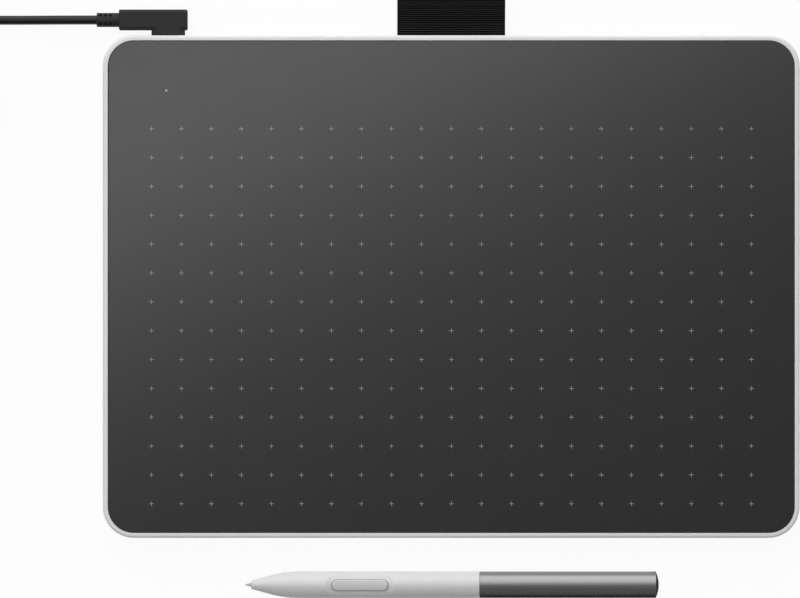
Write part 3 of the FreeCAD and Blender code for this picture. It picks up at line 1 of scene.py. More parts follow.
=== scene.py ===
import bmesh
import bpy
import math
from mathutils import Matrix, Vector


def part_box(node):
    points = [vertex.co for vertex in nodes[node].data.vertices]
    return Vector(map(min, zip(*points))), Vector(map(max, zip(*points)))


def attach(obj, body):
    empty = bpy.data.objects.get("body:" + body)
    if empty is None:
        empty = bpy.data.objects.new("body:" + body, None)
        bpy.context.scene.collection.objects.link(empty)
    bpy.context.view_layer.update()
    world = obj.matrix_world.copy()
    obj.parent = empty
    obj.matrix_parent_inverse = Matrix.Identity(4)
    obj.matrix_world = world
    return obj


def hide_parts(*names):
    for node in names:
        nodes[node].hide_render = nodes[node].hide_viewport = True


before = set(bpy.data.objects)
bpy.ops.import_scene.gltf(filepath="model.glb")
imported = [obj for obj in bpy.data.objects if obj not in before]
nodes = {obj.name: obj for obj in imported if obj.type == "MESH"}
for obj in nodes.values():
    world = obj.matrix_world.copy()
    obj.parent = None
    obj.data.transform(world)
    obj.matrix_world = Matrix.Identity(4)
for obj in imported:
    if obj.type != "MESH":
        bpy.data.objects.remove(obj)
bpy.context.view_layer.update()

# A pen tablet seen from straight above, with its pen in front and its cable at the rear left.
# Lengths are in metres, and every piece is drawn where it lies.

mm = 0.001
scene = bpy.context.scene


# Small tools for shapes

def addMesh(bm, name, smooth=False):
    mesh = bpy.data.meshes.new(name)
    bm.to_mesh(mesh)
    bm.free()
    for face in mesh.polygons:
        face.use_smooth = smooth
    piece = bpy.data.objects.new(name, mesh)
    scene.collection.objects.link(piece)
    return piece


def finishMesh(bm, name, body, smooth=True):
    piece = addMesh(bm, name, smooth)
    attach(piece, body)
    return piece


def boxMiddle(name):
    low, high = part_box(name)
    return (low + high) / 2


def evenly(points, count):
    # the same line with its points spaced evenly
    reach = [0.0]
    for a, b in zip(points, points[1:]):
        reach.append(reach[-1] + (b - a).length)
    spaced = []
    place = 0
    for number in range(count + 1):
        target = reach[-1] * number / count
        while place < len(points) - 2 and reach[place + 1] < target:
            place += 1
        share = (target - reach[place]) / (reach[place + 1] - reach[place])
        spaced.append(points[place].lerp(points[place + 1], share))
    return spaced, reach[-1]


# Small tools for materials

noiseRange = (0.3, 0.7)      # where most of a noise's values lie
noiseDetail = {"mottle": 3.0, "gloss": 4.0, "grain": 1.0, "streak": 3.0, "fibre": 3.0}
glossPatches = 3             # patches of gloss across one patch of mottled colour
waveRadians = 20             # what a wave texture goes through in one unit at a scale of 1


def startMaterial(name):
    material = bpy.data.materials.new(name)
    material.use_nodes = True
    tree = material.node_tree
    where = tree.nodes.new("ShaderNodeTexCoord").outputs["Object"]
    return material, tree, tree.nodes["Principled BSDF"], where


def stretched(tree, where, scale):
    mapping = tree.nodes.new("ShaderNodeMapping")
    mapping.inputs["Scale"].default_value = scale
    tree.links.new(where, mapping.inputs["Vector"])
    return mapping.outputs["Vector"]


def noise(tree, where, size, kind):
    texture = tree.nodes.new("ShaderNodeTexNoise")
    texture.inputs["Scale"].default_value = 1 / size
    texture.inputs["Detail"].default_value = noiseDetail[kind]
    tree.links.new(where, texture.inputs["Vector"])
    return texture.outputs["Fac"]


def ramp(tree, value, stops, colours):
    node = tree.nodes.new("ShaderNodeValToRGB")
    for element, stop, colour in zip(node.color_ramp.elements, stops, colours):
        element.position = stop
        element.color = (*colour, 1.0)
    tree.links.new(value, node.inputs["Fac"])
    return node.outputs["Color"]


def mapRange(tree, value, start=(0.0, 1.0), end=(0.0, 1.0), interpolation="LINEAR"):
    node = tree.nodes.new("ShaderNodeMapRange")
    node.interpolation_type = interpolation
    node.inputs["From Min"].default_value, node.inputs["From Max"].default_value = start
    node.inputs["To Min"].default_value, node.inputs["To Max"].default_value = end
    tree.links.new(value, node.inputs["Value"])
    return node.outputs["Result"]


def maths(tree, operation, *values):
    # each value is a number or another node's output
    node = tree.nodes.new("ShaderNodeMath")
    node.operation = operation
    for entry, value in zip(node.inputs, values):
        if isinstance(value, float):
            entry.default_value = value
        else:
            tree.links.new(value, entry)
    return node.outputs["Value"]


def wave(tree, where, pitch):
    texture = tree.nodes.new("ShaderNodeTexWave")
    texture.inputs["Scale"].default_value = 2 * math.pi / waveRadians / pitch
    tree.links.new(where, texture.inputs["Vector"])
    return texture.outputs["Fac"]


def addBumps(tree, shader, heights):
    normal = None
    for value, depth in heights:
        bump = tree.nodes.new("ShaderNodeBump")
        bump.inputs["Distance"].default_value = depth
        tree.links.new(value, bump.inputs["Height"])
        if normal:
            tree.links.new(normal, bump.inputs["Normal"])
        normal = bump.outputs["Normal"]
    tree.links.new(normal, shader.inputs["Normal"])


def moulded(name, look):
    # plastic, rubber or lacquer: slightly mottled colour, uneven gloss and a fine grain
    material, tree, shader, where = startMaterial(name)
    mottle = noise(tree, where, look["mottle"], "mottle")
    tree.links.new(ramp(tree, mottle, noiseRange, look["colours"]), shader.inputs["Base Color"])
    gloss = noise(tree, where, look["mottle"] / glossPatches, "gloss")
    tree.links.new(mapRange(tree, gloss, noiseRange, look["roughness"]), shader.inputs["Roughness"])
    grain = noise(tree, where, look["grain"], "grain")
    addBumps(tree, shader, [(grain, look["depth"])])
    shader.inputs["Specular IOR Level"].default_value = look.get("specular", 0.5)
    shader.inputs["Transmission Weight"].default_value = look.get("clear", 0.0)
    return material


def metal(name, look):
    # drawn, rolled or lacquered metal with streaks along one way
    material, tree, shader, where = startMaterial(name)
    streak = noise(tree, stretched(tree, where, look["streak"]), look["grain"], "streak")
    tree.links.new(ramp(tree, streak, noiseRange, look["colours"]), shader.inputs["Base Color"])
    tree.links.new(mapRange(tree, streak, noiseRange, look["roughness"]), shader.inputs["Roughness"])
    addBumps(tree, shader, [(streak, look["depth"])])
    shader.inputs["Metallic"].default_value = look.get("metallic", 1.0)
    return material


def dress(material, *names):
    for name in names:
        for slot in nodes[name].material_slots:
            slot.material = material


# Camera: straight down through a long lens; the picture's width is taken at the drawing sheet
picture = {
    "width": 288 * mm, "middle": (-18.45 * mm, -4.46 * mm), "distance": 2.4, "sensor": 36.0,
    "clipEnd": 20.0,
}
lens = bpy.data.cameras.new("topCamera")
lens.sensor_width = picture["sensor"]
lens.lens = picture["sensor"] * picture["distance"] / picture["width"]
lens.clip_end = picture["clipEnd"]
camera = bpy.data.objects.new("topCamera", lens)
camera.location = (*picture["middle"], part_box("drawing_sheet")[1].z + picture["distance"])
scene.collection.objects.link(camera)
scene.camera = camera
scene.view_settings.view_transform = "Standard"
print("camera done")


# Lamps: a soft box behind the tablet, a narrow strip above its rear left, and a weak fill in front
lamps = {
    "rearBox": {
        "place": (-0.40, 1.45, 1.04), "aim": (0.0, 0.0, 0.0), "size": (2.4, 1.9), "power": 25.5,
        "mirrored": True,
    },
    "stripBox": {
        "place": (-0.09, 0.113, 0.60), "aim": (-0.05, 0.03, 0.0), "size": (0.65, 0.1), "power": 0.70,
        "mirrored": True,
    },
    "frontFill": {
        "place": (0.20, -0.95, 0.95), "aim": (0.0, 0.0, 0.0), "size": (1.2, 0.8), "power": 2.3,
        "mirrored": False,
    },
}
for name, lamp in lamps.items():
    light = bpy.data.lights.new(name, "AREA")
    light.shape = "RECTANGLE"
    light.size, light.size_y = lamp["size"]
    light.energy = lamp["power"]
    lampObject = bpy.data.objects.new(name, light)
    lampObject.location = lamp["place"]
    way = Vector(lamp["place"]) - Vector(lamp["aim"])
    lampObject.rotation_euler = way.to_track_quat("Z", "Y").to_euler()
    lampObject.visible_camera = False
    lampObject.visible_glossy = lamp["mirrored"]
    scene.collection.objects.link(lampObject)


# Room: even light from all round, with a white backdrop low down behind the tablet; it is seen white
room = {
    "white": (1.0, 1.0, 1.0, 1.0), "level": 0.22,
    "height": (0.70, 0.30), "rearward": (-0.1, 0.4),      # from no backdrop to the full one
}
world = bpy.data.worlds.new("room")
scene.world = world
world.use_nodes = True
tree = world.node_tree
tree.nodes.clear()
path = tree.nodes.new("ShaderNodeLightPath")
direction = tree.nodes.new("ShaderNodeSeparateXYZ")
tree.links.new(tree.nodes.new("ShaderNodeTexCoord").outputs["Generated"], direction.inputs[0])
height = mapRange(tree, direction.outputs["Z"], room["height"], interpolation="SMOOTHSTEP")
rearward = mapRange(tree, direction.outputs["Y"], room["rearward"], interpolation="SMOOTHSTEP")
backdrop = maths(tree, "MULTIPLY", height, rearward)
level = mapRange(tree, backdrop, end=(room["level"], 1.0))
seen = maths(tree, "MAXIMUM", path.outputs["Is Camera Ray"], path.outputs["Is Transmission Ray"])
strength = maths(tree, "MAXIMUM", seen, level)
roomLight = tree.nodes.new("ShaderNodeBackground")
roomLight.inputs["Color"].default_value = room["white"]
tree.links.new(strength, roomLight.inputs["Strength"])
tree.links.new(roomLight.outputs[0], tree.nodes.new("ShaderNodeOutputWorld").inputs["Surface"])


# Floor: white as seen, with the object's shadow on it
floor = {"half": 6.0, "colour": (0.90, 0.90, 0.90), "glow": 0.93}
material = bpy.data.materials.new("floorPaper")
material.use_nodes = True
tree = material.node_tree
tree.nodes.clear()
path = tree.nodes.new("ShaderNodeLightPath")
seen = maths(tree, "MAXIMUM", path.outputs["Is Camera Ray"], path.outputs["Is Glossy Ray"])
seen = maths(tree, "MAXIMUM", seen, path.outputs["Is Transmission Ray"])
paper = tree.nodes.new("ShaderNodeBsdfDiffuse")
paper.inputs["Color"].default_value = (*floor["colour"], 1.0)
glow = tree.nodes.new("ShaderNodeEmission")
both = tree.nodes.new("ShaderNodeMixShader")
tree.links.new(maths(tree, "MULTIPLY", seen, floor["glow"]), both.inputs["Fac"])
tree.links.new(paper.outputs[0], both.inputs[1])
tree.links.new(glow.outputs[0], both.inputs[2])
tree.links.new(both.outputs[0], tree.nodes.new("ShaderNodeOutputMaterial").inputs["Surface"])
bm = bmesh.new()
bmesh.ops.create_grid(bm, x_segments=1, y_segments=1, size=floor["half"])
floorPiece = addMesh(bm, "floor")
floorPiece.data.materials.append(material)


# Dark cards on the floor, mirrored but not seen: they paint dark reflections on the pen's lower side
# and end, one card in front of the pen, one beyond its end
card = {
    "front": ((-300 * mm, -420 * mm), (300 * mm, -115 * mm)),
    "end": ((73 * mm, -114 * mm), (110 * mm, -98 * mm)),
    "height": 0.5 * mm, "colour": (0.01, 0.01, 0.01), "roughness": 1.0,
}
material = bpy.data.materials.new("cardBlack")
material.use_nodes = True
shader = material.node_tree.nodes["Principled BSDF"]
shader.inputs["Base Color"].default_value = (*card["colour"], 1.0)
shader.inputs["Roughness"].default_value = card["roughness"]
bm = bmesh.new()
for place in ("front", "end"):
    (left, near), (right, far) = card[place]
    corners = [(left, near), (right, near), (right, far), (left, far)]
    bm.faces.new([bm.verts.new((*corner, card["height"])) for corner in corners])
cardPiece = addMesh(bm, "darkCard")
cardPiece.data.materials.append(material)
cardPiece.visible_camera = False
cardPiece.visible_shadow = False
cardPiece.visible_diffuse = False
print("lamps, room, floor and cards done")


# Cable: from the angled plug along the desk, wound up past the picture's left edge
cable = {
    "diameter": 3.3 * mm, "length": 1.49, "onDesk": 1.75 * mm, "coilDistance": 64.6 * mm,
    "meanRadius": 19.6 * mm, "pitch": 3.9 * mm, "layers": 4, "layerTurns": 2.4375,
    "reversalTurns": 0.5, "endLength": 3.3 * mm, "coilBottom": 2.4 * mm, "pointsPerTurn": 24,
    "startTurn": 0.25, "tailLength": 49.5 * mm,
    "runStraight": 11.0 * mm, "runLands": 25.5 * mm, "runLifts": 40.5 * mm, "runLifted": 53.0 * mm,
    "tailStraight": 7.0 * mm, "tailLands": 40.0 * mm,
    "tailDrop": ((-0.4 * mm, 18.0 * mm, 11.2 * mm), (0.3 * mm, 30.0 * mm, 5.6 * mm)),  # aside, out, up
    "order": 3, "resolution": 5, "bevelResolution": 5,
    "colours": ((0.0020, 0.0020, 0.0022), (0.0030, 0.0030, 0.0032)), "mottle": 9 * mm,
    "roughness": (0.31, 0.35), "grain": 0.5 * mm, "depth": 0.003 * mm, "specular": 0.35,
}
sleeveLow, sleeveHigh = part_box("angled_plug_sleeve")
cableStart = Vector((sleeveLow.x, (sleeveLow.y + sleeveHigh.y) / 2, (sleeveLow.z + sleeveHigh.z) / 2))
plugHeight = boxMiddle("computer_plug_body").z
halfBuild = cable["pitch"] * cable["layerTurns"] / 2
outerRadius = cable["meanRadius"] + halfBuild
innerRadius = cable["meanRadius"] - halfBuild
coilX = cableStart.x - cable["coilDistance"]
coilY = cableStart.y - outerRadius
coilTop = cable["coilBottom"] + (cable["layers"] - 1) * cable["pitch"]
coilTurns = cable["layers"] * cable["layerTurns"] + (cable["layers"] - 1) * cable["reversalTurns"]


def coilPlace(turns):
    # radius and height of the wound cable, spiralling in and out again and climbing between
    stretch = cable["layerTurns"] + cable["reversalTurns"]
    layer = min(int(turns / stretch), cable["layers"] - 1)
    within = turns - layer * stretch
    inward = layer % 2 == 0
    begin = outerRadius if inward else innerRadius
    step = -cable["pitch"] if inward else cable["pitch"]
    bottom = cable["coilBottom"] + layer * cable["pitch"]
    if within <= cable["layerTurns"] or layer == cable["layers"] - 1:
        return begin + step * within, bottom
    share = (within - cable["layerTurns"]) / cable["reversalTurns"]
    climb = share - math.sin(2 * math.pi * share) / (2 * math.pi)
    swell = step * cable["reversalTurns"] / math.pi * math.sin(math.pi * share)
    return begin + step * cable["layerTurns"] + swell, bottom + climb * cable["pitch"]


def cableRoute():
    # down to the desk, up to the coil, round it, and down again to the far plug
    x, y, z = cableStart
    route = [
        Vector((x, y, z)),
        Vector((x - cable["runStraight"], y, z)),
        Vector((x - cable["runLands"], y, cable["onDesk"])),
        Vector((x - cable["runLifts"], y, cable["onDesk"])),
        Vector((x - cable["runLifted"], y, cable["coilBottom"])),
        Vector((coilX + cable["endLength"], y, cable["coilBottom"])),
    ]
    count = round(coilTurns * cable["pointsPerTurn"])
    for number in range(count + 1):
        turns = coilTurns * number / count
        radius, height = coilPlace(turns)
        angle = 2 * math.pi * (turns + cable["startTurn"])
        across, along = radius * math.cos(angle), radius * math.sin(angle)
        route.append(Vector((coilX + across, coilY + along, height)))
    tailX = coilX - outerRadius
    tailY = coilY - cable["endLength"]
    route.append(Vector((tailX, tailY, coilTop)))
    route.append(Vector((tailX, tailY - cable["tailStraight"], coilTop)))
    for aside, out, height in cable["tailDrop"]:
        route.append(Vector((tailX + aside, tailY - out, height)))
    route.append(Vector((tailX, tailY - cable["tailLands"], plugHeight)))
    route.append(Vector((tailX, tailY - cable["tailLength"], plugHeight)))
    return route


route = cableRoute()
line = bpy.data.curves.new("cable", "CURVE")
line.dimensions = "3D"
spline = line.splines.new("NURBS")
spline.points.add(len(route) - 1)
for point, place in zip(spline.points, route):
    point.co = (*place, 1.0)
spline.order_u = cable["order"]
spline.use_endpoint_u = True
spline.resolution_u = cable["resolution"]
line.bevel_depth = cable["diameter"] / 2
line.bevel_resolution = cable["bevelResolution"]
line.use_fill_caps = True
line.materials.append(moulded("cableJacket", cable))
cablePiece = bpy.data.objects.new("cable", line)
scene.collection.objects.link(cablePiece)
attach(cablePiece, "tablet")
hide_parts("cable_run", "cable_coil", "cable_tail")
print("cable done")


# Pen loop: ribbed webbing, folded over and clamped inside the rear wall
webbing = {
    "thickness": 1.0 * mm, "ribPitch": 0.72 * mm, "stepsPerRib": 8, "ribShare": 0.42,
    "ribPower": 0.7, "selvage": 0.45 * mm, "selvageShare": 0.6, "selvageWeight": 0.86, "across": 10,
    "slotRise": 1.9 * mm, "neckOut": 1.0 * mm, "spread": 12.5 * mm, "easeSteps": 12, "bendSteps": 24,
    # rib colours: near-black painted shade in the troughs and a painted highlight along each rib's
    # crest
    "trough": (0.0002, 0.0002, 0.0002), "crestPaintedHighlight": (0.032, 0.032, 0.033), "ribStops": (0.74, 0.97),
    "yarn": 0.28 * mm, "yarnDepth": 0.03 * mm, "fibre": (1, 0.2, 0.2), "fibreDepth": 0.02 * mm,
    "roughness": 0.75, "specular": 0.06,
}
loopLow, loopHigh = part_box("pen_loop")
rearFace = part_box("back_cover")[1].y


def webbingLine():
    # the middle of the webbing in the YZ plane, from one end round the loop to the other
    half = webbing["thickness"] / 2
    slotHeight = loopLow.z + webbing["thickness"] + webbing["slotRise"]
    top = loopHigh.z - half
    bottom = loopLow.z + half
    turn = (top - bottom) / 2
    neck = rearFace + webbing["neckOut"]
    flat = neck + webbing["spread"]
    bend = loopHigh.y - half - turn
    strands = []
    for side, level in ((1, top), (-1, bottom)):
        root = slotHeight + side * half
        strand = [Vector((0, loopLow.y, root)), Vector((0, neck, root))]
        for step in range(1, webbing["easeSteps"] + 1):
            share = step / webbing["easeSteps"]
            ease = (1 - math.cos(math.pi * share)) / 2
            strand.append(Vector((0, neck + share * (flat - neck), root + ease * (level - root))))
        strand.append(Vector((0, bend, level)))
        strands.append(strand)
    middle = (top + bottom) / 2
    rounded = []
    for step in range(1, webbing["bendSteps"]):
        angle = math.pi * (0.5 - step / webbing["bendSteps"])
        rounded.append(Vector((0, bend + turn * math.cos(angle), middle + turn * math.sin(angle))))
    return strands[0] + rounded + strands[1][::-1]


outline = webbingLine()
webbingLength = sum((b - a).length for a, b in zip(outline, outline[1:]))
ribCount = round(webbingLength / webbing["ribPitch"])
stepCount = ribCount * webbing["stepsPerRib"]
outline, webbingLength = evenly(outline, stepCount)
halfWidth = (loopHigh.x - loopLow.x) / 2
inner = halfWidth - webbing["selvage"]
nearEdge = halfWidth - webbing["selvage"] * webbing["selvageShare"]
columns = [-halfWidth, -nearEdge]
columns += [-inner + 2 * inner * number / webbing["across"] for number in range(webbing["across"] + 1)]
columns += [nearEdge, halfWidth]
bm = bmesh.new()      # a grid of one unit, whose vertices are then laid along the line
bmesh.ops.create_grid(bm, x_segments=len(columns) - 1, y_segments=stepCount, size=0.5)
weights = bm.verts.layers.deform.verify()
strip = bm.loops.layers.uv.new("strip")
for vert in bm.verts:
    column = round((vert.co.x + 0.5) * (len(columns) - 1))
    step = round((vert.co.y + 0.5) * stepCount)
    swell = abs(math.sin(math.pi * step / webbing["stepsPerRib"])) ** webbing["ribPower"]
    edge = column < 2 or column > len(columns) - 3      # the selvage's two columns on each side
    vert[weights][0] = webbing["selvageWeight"] if edge else 1 - webbing["ribShare"] * (1 - swell)
    vert.co = Vector((columns[column], outline[step].y, outline[step].z))
    for loop in vert.link_loops:
        loop[strip].uv = (column, step / webbing["stepsPerRib"])
bmesh.ops.recalc_face_normals(bm, faces=bm.faces)
loopPiece = finishMesh(bm, "webbingLoop", "tablet")
loopPiece.vertex_groups.new(name="ribs")
thicken = loopPiece.modifiers.new("thickness", "SOLIDIFY")
thicken.thickness = webbing["thickness"]
thicken.offset = 0.0
thicken.vertex_group = "ribs"
thicken.thickness_vertex_group = 0.0
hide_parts("pen_loop")

material, tree, shader, where = startMaterial("ribbedWebbing")
stripPlace = tree.nodes.new("ShaderNodeUVMap")
stripPlace.uv_map = "strip"
alongStrip = tree.nodes.new("ShaderNodeSeparateXYZ")
tree.links.new(stripPlace.outputs["UV"], alongStrip.inputs[0])
# painted shade and highlight: the colour goes from near black in the troughs to grey on the crests,
# following the rib's height along the strip
halfTurns = maths(tree, "MULTIPLY", alongStrip.outputs["Y"], math.pi)
ribHeight = maths(tree, "ABSOLUTE", maths(tree, "SINE", halfTurns))
ribPaintedShadeAndHighlight = ramp(tree, ribHeight, webbing["ribStops"], (webbing["trough"], webbing["crestPaintedHighlight"]))
tree.links.new(ribPaintedShadeAndHighlight, shader.inputs["Base Color"])
fibre = noise(tree, stretched(tree, where, webbing["fibre"]), webbing["yarn"], "fibre")
yarns = wave(tree, where, webbing["yarn"])
addBumps(tree, shader, [(yarns, webbing["yarnDepth"]), (fibre, webbing["fibreDepth"])])
shader.inputs["Roughness"].default_value = webbing["roughness"]
shader.inputs["Specular IOR Level"].default_value = webbing["specular"]
loopPiece.data.materials.append(material)
print("webbing loop done, ribs", ribCount, "length", round(webbingLength, 4))


# Printed marks: a field of small crosses on the drawing sheet
marks = {
    "columns": 21, "rows": 14, "pitchX": 10.8 * mm, "pitchY": 10.385 * mm,
    "middle": (0.06 * mm, -10.67 * mm), "size": 1.7 * mm, "stroke": 0.165 * mm, "height": 0.02 * mm,
    "colours": ((0.32, 0.32, 0.32), (0.36, 0.36, 0.36)), "mottle": 0.4 * mm,
    "roughness": (0.30, 0.32), "grain": 0.1 * mm, "depth": 0.002 * mm, "specular": 0.7,
}
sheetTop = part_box("drawing_sheet")[1].z
bm = bmesh.new()
bmesh.ops.create_grid(bm, x_segments=3, y_segments=3, size=0.5)
halfSize = marks["size"] / 2
halfStroke = marks["stroke"] / 2
outer = 0.3      # the grid's outer vertices, and the middles of its outer faces, lie past this
corners = []
for face in bm.faces:
    middle = face.calc_center_median()
    if abs(middle.x) > outer and abs(middle.y) > outer:
        corners.append(face)
bmesh.ops.delete(bm, geom=corners, context="FACES")
for vert in bm.verts:
    for axis in (0, 1):
        reach = halfSize if abs(vert.co[axis]) > outer else halfStroke
        vert.co[axis] = math.copysign(reach, vert.co[axis])
raised = bmesh.ops.extrude_face_region(bm, geom=bm.faces[:], use_keep_orig=True)
lifted = [item for item in raised["geom"] if isinstance(item, bmesh.types.BMVert)]
bmesh.ops.translate(bm, verts=lifted, vec=(0, 0, marks["height"]))
bmesh.ops.recalc_face_normals(bm, faces=bm.faces)
firstX = marks["middle"][0] - marks["pitchX"] * (marks["columns"] - 1) / 2
firstY = marks["middle"][1] - marks["pitchY"] * (marks["rows"] - 1) / 2
bmesh.ops.translate(bm, verts=bm.verts, vec=(firstX, firstY, sheetTop))
marksPiece = finishMesh(bm, "printedMarks", "tablet", smooth=False)
for axis, count, pitch in ((0, marks["columns"], marks["pitchX"]), (1, marks["rows"], marks["pitchY"])):
    repeat = marksPiece.modifiers.new("repeat" + "XY"[axis], "ARRAY")
    repeat.use_relative_offset = False
    repeat.use_constant_offset = True
    repeat.count = count
    repeat.constant_offset_displace = (0, 0, 0)
    repeat.constant_offset_displace[axis] = pitch
marksPiece.data.materials.append(moulded("markInk", marks))
print("printed marks done")


# Casing
coverLook = {
    "colours": ((0.745, 0.748, 0.745), (0.765, 0.767, 0.762)), "mottle": 14 * mm,
    "roughness": (0.50, 0.57), "grain": 0.3 * mm, "depth": 0.004 * mm, "specular": 0.25,
}
dress(moulded("coverPlastic", coverLook), "back_cover")
caseLook = {
    "colours": ((0.012, 0.012, 0.013), (0.018, 0.018, 0.019)), "mottle": 12 * mm,
    "roughness": (0.5, 0.6), "grain": 0.3 * mm, "depth": 0.006 * mm,
}
dress(moulded("casePlastic", caseLook), "top_case", "loop_clamp")
sheetLook = {
    "colours": ((0.0135, 0.0136, 0.0135), (0.0149, 0.0150, 0.0149)), "mottle": 25 * mm,
    "roughness": (0.295, 0.31), "grain": 0.28 * mm, "depth": 0.003 * mm, "specular": 0.7,
}
dress(moulded("sheetTexture", sheetLook), "drawing_sheet")
footLook = {
    "colours": ((0.016, 0.016, 0.016), (0.024, 0.024, 0.024)), "mottle": 4 * mm,
    "roughness": (0.7, 0.82), "grain": 0.2 * mm, "depth": 0.015 * mm,
}
dress(moulded("footRubber", footLook), "rubber_feet")
labelLook = {
    "colours": ((0.60, 0.60, 0.60), (0.64, 0.64, 0.64)), "mottle": 10 * mm,
    "roughness": (0.35, 0.45), "grain": 0.15 * mm, "depth": 0.002 * mm,
}
dress(moulded("labelFilm", labelLook), "rating_label")
buttonLook = {
    "colours": ((0.60, 0.60, 0.61), (0.64, 0.64, 0.65)), "mottle": 5 * mm,
    "roughness": (0.38, 0.46), "grain": 0.25 * mm, "depth": 0.004 * mm,
}
dress(moulded("buttonPlastic", buttonLook), "power_button", "power_switch_plunger")
lightLook = {
    "colours": ((0.62, 0.63, 0.63), (0.70, 0.71, 0.71)), "mottle": 2 * mm,
    "roughness": (0.3, 0.4), "grain": 0.2 * mm, "depth": 0.001 * mm, "clear": 0.3,
}
dress(moulded("lightPipe", lightLook), "light_pipe", "status_led")
print("casing finishes done")


# Plugs
plugLook = {
    "colours": ((0.0235, 0.0235, 0.0238), (0.0275, 0.0275, 0.0278)), "mottle": 6 * mm,
    "roughness": (0.55, 0.62), "grain": 0.22 * mm, "depth": 0.010 * mm, "specular": 0.18,
}
dress(
    moulded("plugMoulding", plugLook),
    "angled_plug_body", "angled_plug_sleeve", "computer_plug_body", "computer_plug_sleeve",
)
strapLook = {
    "colours": ((0.02, 0.02, 0.021), (0.03, 0.03, 0.031)), "mottle": 5 * mm,
    "roughness": (0.55, 0.68), "grain": 0.3 * mm, "depth": 0.012 * mm,
}
dress(moulded("strapRubber", strapLook), "cable_ties")
shellLook = {
    "colours": ((0.56, 0.56, 0.57), (0.66, 0.66, 0.67)), "streak": (1, 0.06, 1),
    "roughness": (0.2, 0.3), "grain": 0.25 * mm, "depth": 0.002 * mm,
}
dress(metal("shellSteel", shellLook), "socket_shell", "angled_plug_insert", "computer_plug_shell")
tongueLook = {
    "colours": ((0.78, 0.78, 0.75), (0.84, 0.84, 0.81)), "mottle": 3 * mm,
    "roughness": (0.4, 0.5), "grain": 0.2 * mm, "depth": 0.003 * mm,
}
dress(
    moulded("tonguePlastic", tongueLook),
    "computer_plug_tongue", "ribbon_connectors", "battery_connector",
)
contactLook = {
    "colours": ((0.75, 0.52, 0.2), (0.86, 0.64, 0.3)), "streak": (1, 0.1, 1),
    "roughness": (0.18, 0.26), "grain": 0.2 * mm, "depth": 0.001 * mm,
}
dress(metal("contactGold", contactLook), "computer_plug_contacts")
print("plug finishes done")


# Pen
penLook = {
    "colours": ((0.660, 0.662, 0.660), (0.685, 0.687, 0.684)), "mottle": 9 * mm,
    "roughness": (0.40, 0.48), "grain": 0.22 * mm, "depth": 0.004 * mm,
}
dress(moulded("penPlastic", penLook), "pen_front_case")
keyLook = {
    "colours": ((0.575, 0.577, 0.575), (0.600, 0.602, 0.599)), "mottle": 6 * mm,
    "roughness": (0.36, 0.44), "grain": 0.2 * mm, "depth": 0.003 * mm,
}
dress(moulded("keyPlastic", keyLook), "side_switch")
nibLook = {
    "colours": ((0.50, 0.50, 0.50), (0.55, 0.55, 0.55)), "mottle": 1.5 * mm,
    "roughness": (0.5, 0.6), "grain": 0.1 * mm, "depth": 0.004 * mm,
}
dress(moulded("nibPlastic", nibLook), "pen_nib", "spare_nibs")
rearLook = {
    "colours": ((0.280, 0.280, 0.282), (0.305, 0.305, 0.307)), "streak": (0.5, 1, 1),
    "roughness": (0.42, 0.47), "grain": 0.16 * mm, "depth": 0.003 * mm,
}
dress(metal("rearLacquer", rearLook), "pen_rear_case")
carrierLook = {
    "colours": ((0.05, 0.05, 0.052), (0.07, 0.07, 0.072)), "mottle": 4 * mm,
    "roughness": (0.48, 0.58), "grain": 0.2 * mm, "depth": 0.005 * mm,
}
dress(moulded("carrierPlastic", carrierLook), "pen_chassis", "spare_nib_rack", "nib_holder")
ringLook = {
    "colours": ((0.01, 0.01, 0.01), (0.016, 0.016, 0.016)), "mottle": 2 * mm,
    "roughness": (0.35, 0.45), "grain": 0.15 * mm, "depth": 0.004 * mm,
}
dress(moulded("ringRubber", ringLook), "friction_ring")
print("pen finishes done")


# Inner pieces
chipLook = {
    "colours": ((0.012, 0.012, 0.013), (0.02, 0.02, 0.021)), "mottle": 2 * mm,
    "roughness": (0.5, 0.62), "grain": 0.12 * mm, "depth": 0.006 * mm,
}
dress(
    moulded("chipMoulding", chipLook),
    "controller_chip", "pen_chip", "power_switch", "side_switch_contacts", "socket_tongue",
)
leadLook = {
    "colours": ((0.42, 0.02, 0.015), (0.5, 0.03, 0.02)), "mottle": 3 * mm,
    "roughness": (0.4, 0.5), "grain": 0.2 * mm, "depth": 0.003 * mm,
}
dress(moulded("leadInsulation", leadLook), "battery_leads")
sinteredLook = {
    "colours": ((0.05, 0.05, 0.055), (0.08, 0.08, 0.085)), "streak": (1, 1, 1),
    "roughness": (0.55, 0.7), "grain": 0.15 * mm, "depth": 0.01 * mm, "metallic": 0.6,
}
dress(metal("sinteredCore", sinteredLook), "ferrite_core", "pressure_sensor")
copperLook = {
    "colours": ((0.52, 0.2, 0.07), (0.72, 0.33, 0.14)), "streak": (1, 0.05, 0.05),
    "roughness": (0.25, 0.35), "grain": 0.12 * mm, "depth": 0.02 * mm,
}
dress(metal("windingCopper", copperLook), "core_winding")
screwLook = {
    "colours": ((0.42, 0.42, 0.43), (0.56, 0.56, 0.57)), "streak": (1, 0.2, 1),
    "roughness": (0.3, 0.42), "grain": 0.2 * mm, "depth": 0.003 * mm,
}
dress(metal("screwSteel", screwLook), "case_screws", "board_screws", "clamp_screws", "side_switch_pin")
rolledLook = {
    "colours": ((0.58, 0.58, 0.58), (0.68, 0.68, 0.68)), "streak": (0.04, 1, 1),
    "roughness": (0.3, 0.42), "grain": 0.3 * mm, "depth": 0.002 * mm,
}
dress(metal("rolledShield", rolledLook), "shield_plate", "radio_module")
foilLook = {
    "colours": ((0.5, 0.5, 0.5), (0.62, 0.62, 0.62)), "streak": (0.6, 1, 1),
    "roughness": (0.3, 0.45), "grain": 2.5 * mm, "depth": 0.06 * mm,
}
dress(metal("pouchFoil", foilLook), "battery")

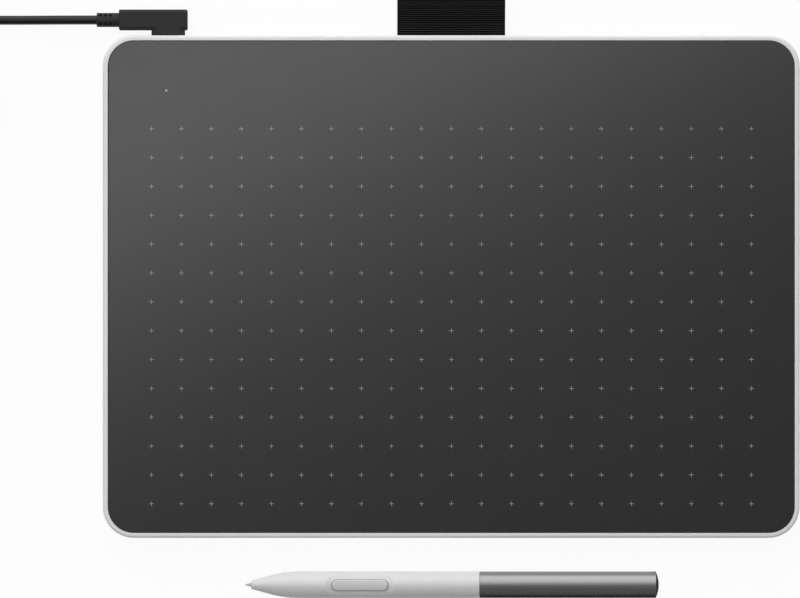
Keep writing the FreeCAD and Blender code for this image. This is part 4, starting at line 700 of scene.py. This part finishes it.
board = {
    "mask": (0.012, 0.075, 0.035), "trace": (0.03, 0.14, 0.07), "pitch": 2.4 * mm, "length": 9.6 * mm,
    "line": 0.3 * mm, "depth": 0.03 * mm, "roughness": 0.32,
}
material, tree, shader, where = startMaterial("boardMask")
tracks = tree.nodes.new("ShaderNodeTexBrick")
tracks.inputs["Scale"].default_value = 1.0
tracks.inputs["Brick Width"].default_value = board["length"]
tracks.inputs["Row Height"].default_value = board["pitch"]
tracks.inputs["Mortar Size"].default_value = board["line"] / 2
tracks.inputs["Color1"].default_value = (*board["mask"], 1.0)
tracks.inputs["Color2"].default_value = (*board["mask"], 1.0)
tracks.inputs["Mortar"].default_value = (*board["trace"], 1.0)
tree.links.new(where, tracks.inputs["Vector"])
tree.links.new(tracks.outputs["Color"], shader.inputs["Base Color"])
addBumps(tree, shader, [(tracks.outputs["Fac"], board["depth"])])
shader.inputs["Roughness"].default_value = board["roughness"]
dress(material, "sensor_board", "main_board", "pen_board")

foam = {
    "colours": ((0.03, 0.03, 0.032), (0.075, 0.075, 0.078)), "stops": (0.1, 0.6),
    "pore": 0.7 * mm, "depth": 0.2 * mm, "roughness": 0.95,
}
material, tree, shader, where = startMaterial("openFoam")
pores = tree.nodes.new("ShaderNodeTexVoronoi")
pores.inputs["Scale"].default_value = 1 / foam["pore"]
tree.links.new(where, pores.inputs["Vector"])
# the foam's dark grey with painted shade in the pores: the colour darkens where the pore distance,
# which is also the bump height, is low
foamWithPaintedPoreShade = ramp(tree, pores.outputs["Distance"], foam["stops"], foam["colours"])
tree.links.new(foamWithPaintedPoreShade, shader.inputs["Base Color"])
addBumps(tree, shader, [(pores.outputs["Distance"], foam["depth"])])
shader.inputs["Roughness"].default_value = foam["roughness"]
dress(material, "support_foam")

ribbon = {
    "colours": ((0.42, 0.19, 0.03), (0.6, 0.3, 0.08)), "stops": (0.45, 0.55), "pitch": 1.0 * mm,
    "depth": 0.02 * mm, "roughness": 0.3,
}
material, tree, shader, where = startMaterial("ribbonFilm")
strips = wave(tree, where, ribbon["pitch"])
tree.links.new(ramp(tree, strips, ribbon["stops"], ribbon["colours"]), shader.inputs["Base Color"])
addBumps(tree, shader, [(strips, ribbon["depth"])])
shader.inputs["Roughness"].default_value = ribbon["roughness"]
dress(material, "sensor_ribbon")
print("inner finishes done")


undressed = [
    name for name, node in nodes.items()
    if not node.hide_render and not node.active_material.use_nodes
]
print("nodes without a finish:", undressed)
